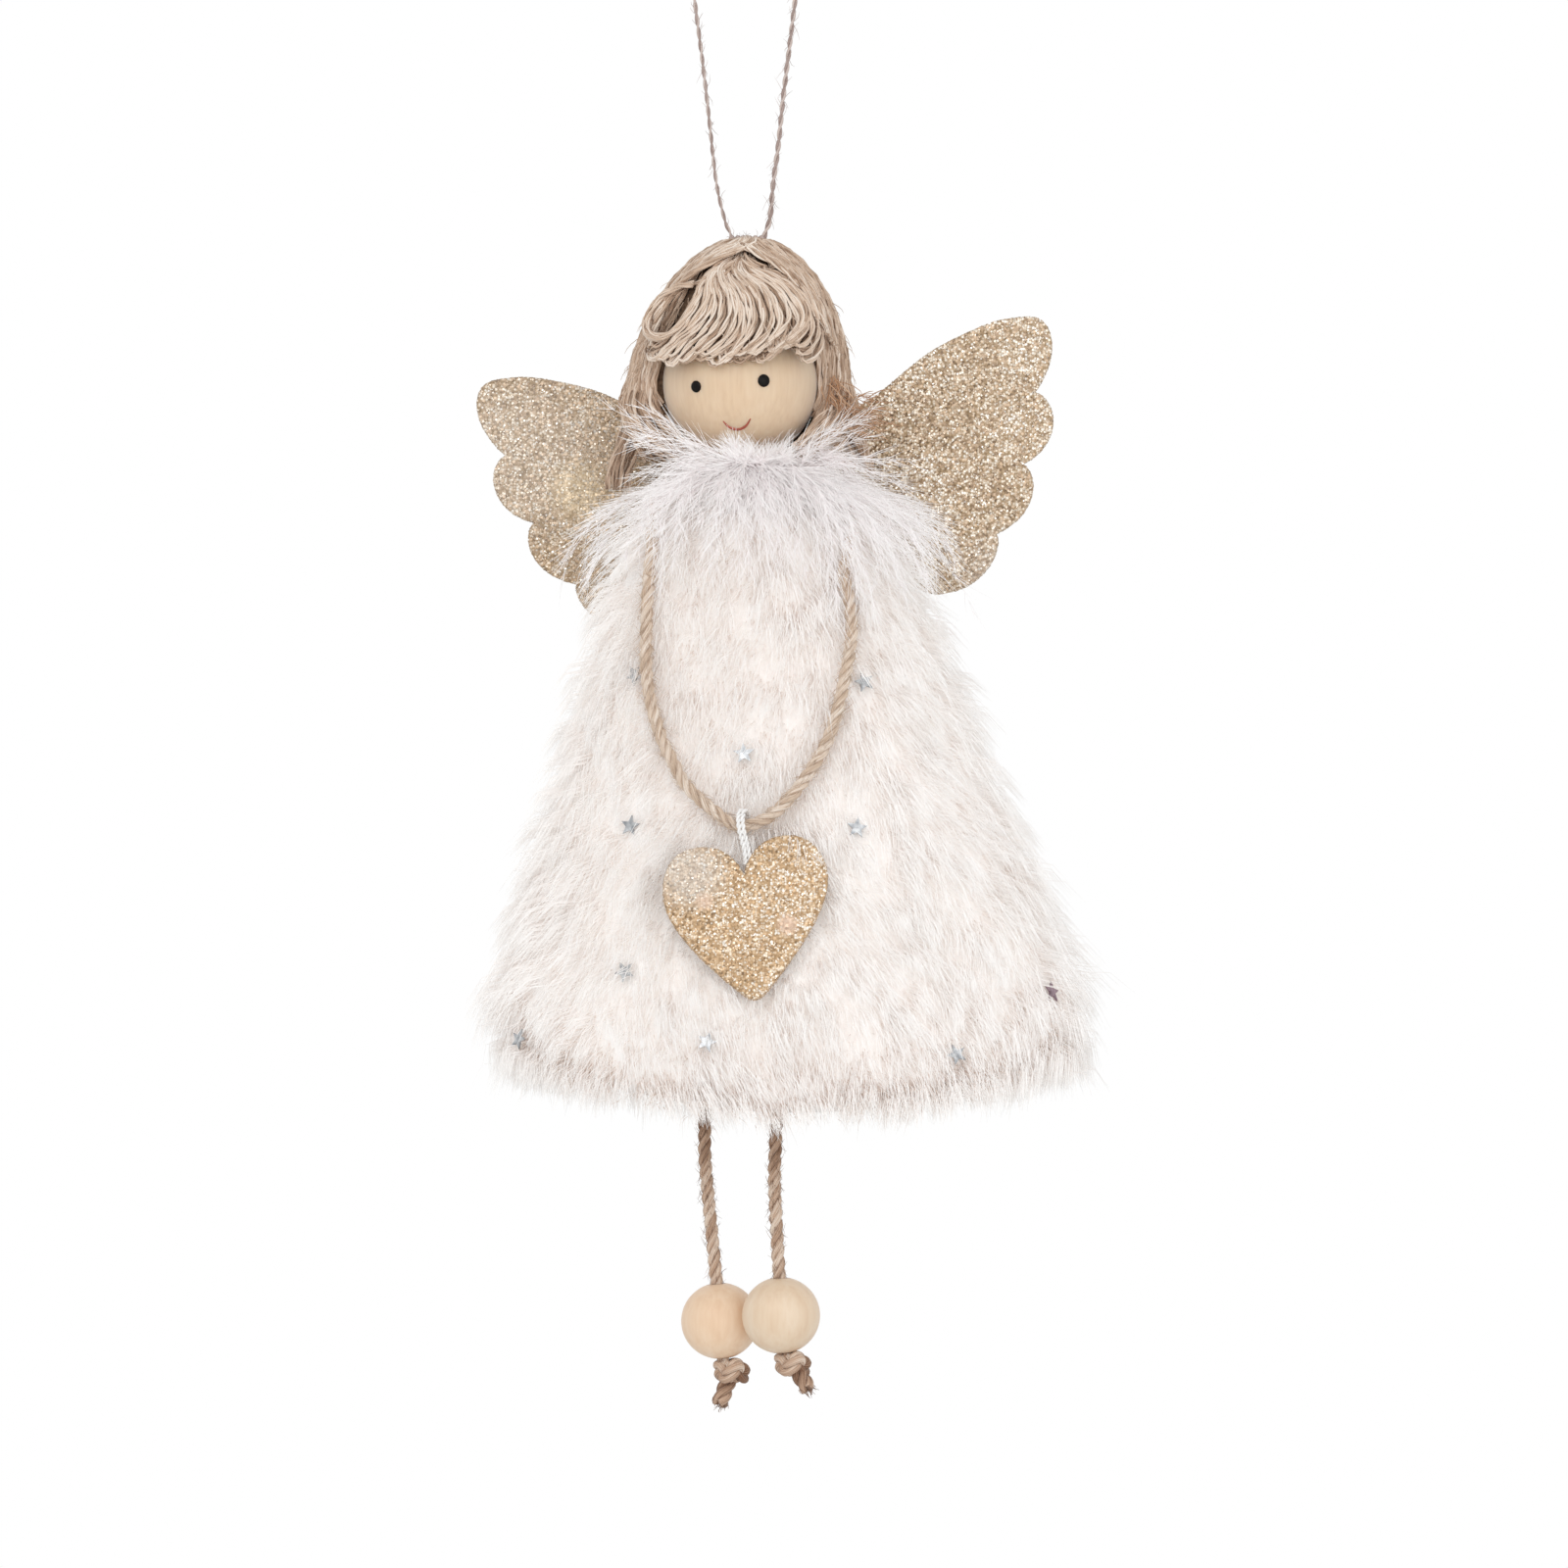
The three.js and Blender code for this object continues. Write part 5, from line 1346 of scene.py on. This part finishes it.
shafts = []
barbs = []
t = np.linspace(0, 1, SHAFT_POINTS)
last = SHAFT_POINTS - 1
for i in range(FEATHERS):
    angle = chance.uniform(0, 2 * np.pi)
    if i % 4 == 0:
        # more of them in front, over the strands of the necklace
        angle = math.radians(-90 + chance.choice([-1, 1, 1]) * chance.normal(47, 12))
    side = abs(math.cos(angle))
    turn = angle + chance.normal(0, 0.14) * t + chance.normal(0, 0.1)
    fluff = 1.0
    barb_count = BARBS
    if i < RUFF:
        # a rosette under the chin, short above so that the mouth stays clear
        spin = chance.uniform(0, 2 * np.pi)
        up, over = math.sin(spin), math.cos(spin)
        reach = (9 + 7 * abs(over)) * chance.uniform(0.5, 1.1)
        if up > 0:
            reach = (2.2 + 9 * abs(over) ** 3) * chance.uniform(0.5, 1.1)
            fluff = 0.35 + 0.4 * abs(over)
        root = np.array(RUFF_ROOT) + chance.normal(0, 1, 3) * (2.6, 0.8, 0.6)
        away = np.column_stack([
            over * t, -0.12 * t + 0.45 * over**2 * t**2, up * t - 0.35 * over**2 * t**2,
        ])
        line = root + away * reach
        facing = np.tile([0.15 * over, -0.95, 0.25], (SHAFT_POINTS, 1))
    elif i < RUFF + WISPS:
        # thin feathers that stand out beside the cheeks
        over = chance.choice([-1, 1])
        beside = NECK_CENTRE + over * chance.uniform(6, 11)
        root = np.array([beside, -9.5, -83.0]) + chance.normal(0, 0.8, 3)
        way = np.array([
            over * chance.uniform(0.5, 1), chance.uniform(-0.1, 0.35), chance.uniform(-0.75, 0.7),
        ])
        sag = np.outer(t**2, [over * 1.5, 0.5, -2.0])
        line = root + unit(way) * (chance.uniform(5, 15) * t)[:, None] + sag
        facing = np.tile([0.2 * over, -0.95, 0.2], (SHAFT_POINTS, 1))
        fluff = 0.7
        barb_count = BARBS // 2
    elif i < RUFF + WISPS + NECK_RUFF:
        # short feathers that stand up between the hair and the dress
        angle = math.radians(chance.uniform(-35, 215))
        facing = np.tile([math.cos(angle), math.sin(angle), 0.3], (SHAFT_POINTS, 1))
        root = dress_at(np.array([angle]), np.array([chance.uniform(0.5, 3)]), np.array([0.5]))[0][0]
        reach = chance.uniform(3, 6)
        rise = np.outer(t, facing[0] * (0.5, 0.5, 0) + (0, 0, 0.9))
        line = root + rise * reach - np.outer(t**2, (0, 0, 0.35)) * reach
        fluff = 0.55
    else:
        # the collar itself, thinner over the locks and longer over the right strand of the necklace
        over_lock = rising(side, 0.45, 0.85)
        if chance.random() < (0.5 if math.cos(angle) > 0 else 0.78) * over_lock:
            continue
        over_strand = math.cos(angle) > 0.3 and math.sin(angle) < -0.45
        far_left = math.cos(angle) < -0.7
        fall = (22 - 6 * side + 8 * over_strand + 4 * far_left) * chance.uniform(0.35, 1.05)
        rise = (4.5 + 4 * side**2) * chance.uniform(0.35, 1.2)
        drop = 0.6 + 4.0 * over_lock * chance.random() ** 0.5 + fall * t**1.15
        line = dress_at(turn, drop, 1.6 + rise * np.sin(t * 1.9) ** 1.2)[0]
        line[:, 2] += 2.6 * np.sin(np.pi * t * 0.9) * chance.random() * (1 - over_lock)
        facing = dress_at(turn, drop, 0 * t)[1]
    line = line + np.cumsum(chance.normal(0, 0.1, (SHAFT_POINTS, 3)), axis=0)
    shafts.append(line)
    ahead = unit(np.gradient(line, axis=0))
    aside = np.cross(ahead, facing)
    for j in range(barb_count):
        s = chance.uniform(0.04, 0.95)
        k = min(int(s * last), last - 1)
        start = line[k] + (line[k + 1] - line[k]) * (s * last - k)
        hand = 1 if j % 2 else -1
        reach = chance.uniform(4.0, 9.0) * (1 - 0.45 * s) * fluff
        spread = aside[k] * hand * chance.uniform(0.12, 0.6) + facing[k] * chance.normal(0.06, 0.16)
        way = unit(ahead[k] * 0.9 + spread)
        curl = chance.normal(0, 0.09, 3) * reach + ahead[k] * 0.15 * reach
        barbs.append([start, start + way * reach * 0.5 + curl * 0.2, start + way * reach + curl])
shaft_taper = np.linspace(1, 0.3, SHAFT_POINTS)
shaft = laid("collar_feather_shafts", stem(3, last), shafts, SHAFT_R, down_white, shaft_taper)
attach(shaft, "doll")
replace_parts(shaft, "feather_collar")
for i, some in enumerate(np.array_split(np.array(barbs), 2)):
    plume = laid(f"collar_feather_barbs_{i + 1}", stem(3, 2), some, BARB_R, down_white, [1, 0.8, 0.25])
    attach(plume, "doll")

# Heart: a cut-out of glitter board, more golden than the wings, on a loop of white cotton thread
# over the necklace. The glue took badly in two spots, which stay nearly bare.
HEART_HALF = [
    ((0, 0), (1.2, 4.6), None),
    ((6.9, 5.9), (10.9, 5.9), (4.2, 5.9)),
    ((12.9, -1.2), (12.9, -6.0), (12.9, 2.6)),
    ((1.9, -17.8), (1.1, -18.5), (6.6, -13.2)),
    ((0, -18.9), None, (0.8, -18.9)),
]
HEART_LEAN = 0.05
HEART_SHIFT = -0.35
HEART_NOTCH = (0.2826, -25.5349, -150.5203)
HEART_AXES = [(0.99027, 0.02205, 0.13741), (0.0, 0.98736, -0.15846), (-0.13917, 0.15692, 0.97776)]
HEART_THICK = 2.0
HEART_GRAINS = 3400
HEART_THREAD = [
    (-0.22, -23.77, -139.51), (0.23, -22.46, -140.48), (0.23, -22.23, -142.87), (0.28, -24.24, -146.58),
    (0.28, -25.12, -147.95), (0.28, -25.53, -146.37), (-0.67, -26.28, -142.22), (-0.67, -25.32, -140.02),
    (-0.22, -23.77, -139.51),
]
THREAD_D = 0.8
THREAD_PITCH = 1.9
THREAD_APART = 0.34
HEART_SHADES = [
    (0.0, "#8C7256"), (1.0, "#FFFBF4"), (0.2, "#B6946F"), (0.45, "#D0B390"), (0.65, "#E0CCB2"),
    (0.85, "#F1E6D6"),
]
BARE_SPOTS = [((-6.4, -26.2, -154.0), 1.5), ((6.7, -27.4, -157.6), 1.7)]
HEART_PATCHES = [((-8.8, -26, -149.5), 7, "#CFCBC7", 0.45)]
HEART_PATCHES += [(spot, 1.25 * reach, "#DBBDA6", 0.9) for spot, reach in BARE_SPOTS]

cotton_thread = jute_look("white_cotton_thread", "#F2F0EE", "#FAF9F8", "#FFFFFF")
thread_line = smooth_line(HEART_THREAD, 0.25)
thread_turns = [thread_line - (THREAD_APART, 0, 0), thread_line + (THREAD_APART, 0, 0)]
thread_plies = np.concatenate([plied(turn, 2, THREAD_D / 2, THREAD_PITCH)[0] for turn in thread_turns])
thread = laid("heart_cotton_thread", stem(6, len(thread_line) - 1), thread_plies, THREAD_D / 4, cotton_thread)
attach(thread, "heart_hanger")
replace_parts(thread, "heart_thread")

heart_glitter = glitter_look("gold_glitter_board", HEART_SHADES, "#B0906A", HEART_PATCHES)
shape = cut_out(HEART_HALF, HEART_THICK, EDGE_ROUND)
for v in shape.verts:
    v.co.x += HEART_LEAN * min(v.co.z, 0) + HEART_SHIFT
axes = Matrix(HEART_AXES).transposed().to_4x4()
bmesh.ops.transform(shape, matrix=Matrix.Translation(HEART_NOTCH) @ axes, verts=shape.verts)
heart_film = grain_look("gold_glitter_film", HEART_SHADES, HEART_PATCHES)
grains = scattered("heart_glitter_grains", shape, HEART_GRAINS, heart_film, "heart", BARE_SPOTS)
heart = piece_from(shape, "heart_board", heart_glitter, smooth=False)
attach(heart, "heart")
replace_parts(heart, "heart")

# Legs: three-ply jute cord, 2.2 mm thick, out of the base of the dress. Each carries a turned wooden bead
# that rests on an overhand knot with a frayed tail.
LEG_D = 2.2
# where each cord leaves the base, bends, goes through the bead's middle, and ends in the knot
LEGS = {
    "left": (
        (-6.7, 4.15, -186.918), (-6.5, 4.15, -196.418), (-4.1416, 4.15, -221.5073),
        (-3.3227, 4.15, -230.2188),
    ),
    "right": (
        (4.9, -4.15, -187.8103), (4.6, -4.15, -199.31), (5.6487, -4.15, -220.2841),
        (6.0856, -4.15, -229.0231),
    ),
}
BEAD_D = 12.5
BEAD_HEIGHT = 11.9
BEAD_BORE = 3.0
BEAD_WOOD = {
    "left": wood_look("birch_bead_warm", "#E1C0A0", "#E8CBAD", "#EED6BD", 1.2),
    "right": wood_look("birch_bead_pale", "#DCC1A4", "#E2CBB0", "#E7D4BD", 1.2),
}
KNOT_AT = {"left": (-2.3, 4.15, -229.6), "right": (7.5, -4.15, -228.1)}
KNOT_CORD = 2.7
KNOT_SIZE = (0.66, 0.6, 0.55)
# the length of each tail and the way it points
TAIL = {"left": (5.6, (-0.36, -0.2, -1.0)), "right": (4.8, (0.66, -0.3, -1.0))}
TAIL_LOOSER = 1.05
FRAYED = 60
FRAY_R = 0.07
# painted shade darkens the first 14 mm of every piece made with this cord finish
leg_jute = jute_look("three_ply_jute_leg_cord", "#775540", "#C2A38B", "#F0E3D4", 0.2, start_shade=0.2)
# the line of an overhand knot, which crosses itself three times
knot_turn = np.linspace(0, 2 * np.pi, 90)
knot_coil = np.column_stack([
    np.sin(knot_turn) + 2 * np.sin(2 * knot_turn), np.cos(knot_turn) - 2 * np.cos(2 * knot_turn),
    -1.55 * np.sin(3 * knot_turn),
]) * KNOT_SIZE
for side, places in LEGS.items():
    hip, bend, bead_at, cord_end = (np.array(p) for p in places)
    slope = unit(bead_at - bend)
    leg_line = smooth_line([
        hip, hip * 0.6 + bend * 0.4, bend, bend * 0.5 + bead_at * 0.5, bead_at, cord_end - slope * 1.5,
    ], CORD_STEP)
    leg = rope(f"{side}_leg_jute", leg_line, LEG_D, f"{side}_leg", leg_jute)
    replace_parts(leg, f"{side}_leg_cord")
    hip_line = smooth_line([hip + (0, 0, 1.6), hip, hip - (0, 0, 1.0)], CORD_STEP)
    stub = rope(f"{side}_hip_jute", hip_line, LEG_D, f"{side}_hip", leg_jute)
    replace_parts(stub, f"{side}_leg_hip")
    leg_fuzz = fuzz(f"{side}_leg_fuzz", leg_line, LEG_D / 2, 300, 1.3, leg_jute, f"{side}_leg")

    shape = turned_ball(BEAD_D / 2, BEAD_HEIGHT, BEAD_BORE / 2)
    turn = Vector(-slope).to_track_quat("Z", "Y").to_matrix().to_4x4()
    bmesh.ops.transform(shape, matrix=Matrix.Translation(bead_at) @ turn, verts=shape.verts)
    bead = piece_from(shape, f"{side}_foot_bead_birch", BEAD_WOOD[side])
    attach(bead, f"{side}_bead")
    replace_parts(bead, f"{side}_foot_bead")

    knot_at = np.array(KNOT_AT[side])
    knot = rope(f"{side}_foot_knot_jute", knot_at + knot_coil, KNOT_CORD, f"{side}_leg", leg_jute)
    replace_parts(knot, f"{side}_foot_knot")
    tail_way = unit(np.array(TAIL[side][1]))
    hang = tail_way * TAIL[side][0]
    tail_line = smooth_line([knot_at, knot_at + hang * 0.5, knot_at + hang], CORD_STEP)
    tail = rope(f"{side}_foot_tail_jute", tail_line, KNOT_CORD * TAIL_LOOSER, f"{side}_leg", leg_jute)
    frayed = []
    for i in range(FRAYED):
        start = tail_line[-1] + chance.normal(0, 0.5, 3) - tail_way * 0.6
        way = unit(tail_way + chance.normal(0, 0.25, 3))
        reach = chance.uniform(0.5, 1.2)
        frayed.append([start, start + way * reach * 0.5, start + way * reach + chance.normal(0, 0.1, 3)])
    fray = laid(f"{side}_foot_fray", stem(3, 2), frayed, FRAY_R, leg_jute, [1, 0.8, 0.4])
    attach(fray, f"{side}_leg")

# Sizes: the box of the solids and the box of the finished doll, both in metres, side by side. The doll
# may stand only a little proud of its solids.
size = {"cad": [list(v) for v in cad_box], "visual": [list(v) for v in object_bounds()]}
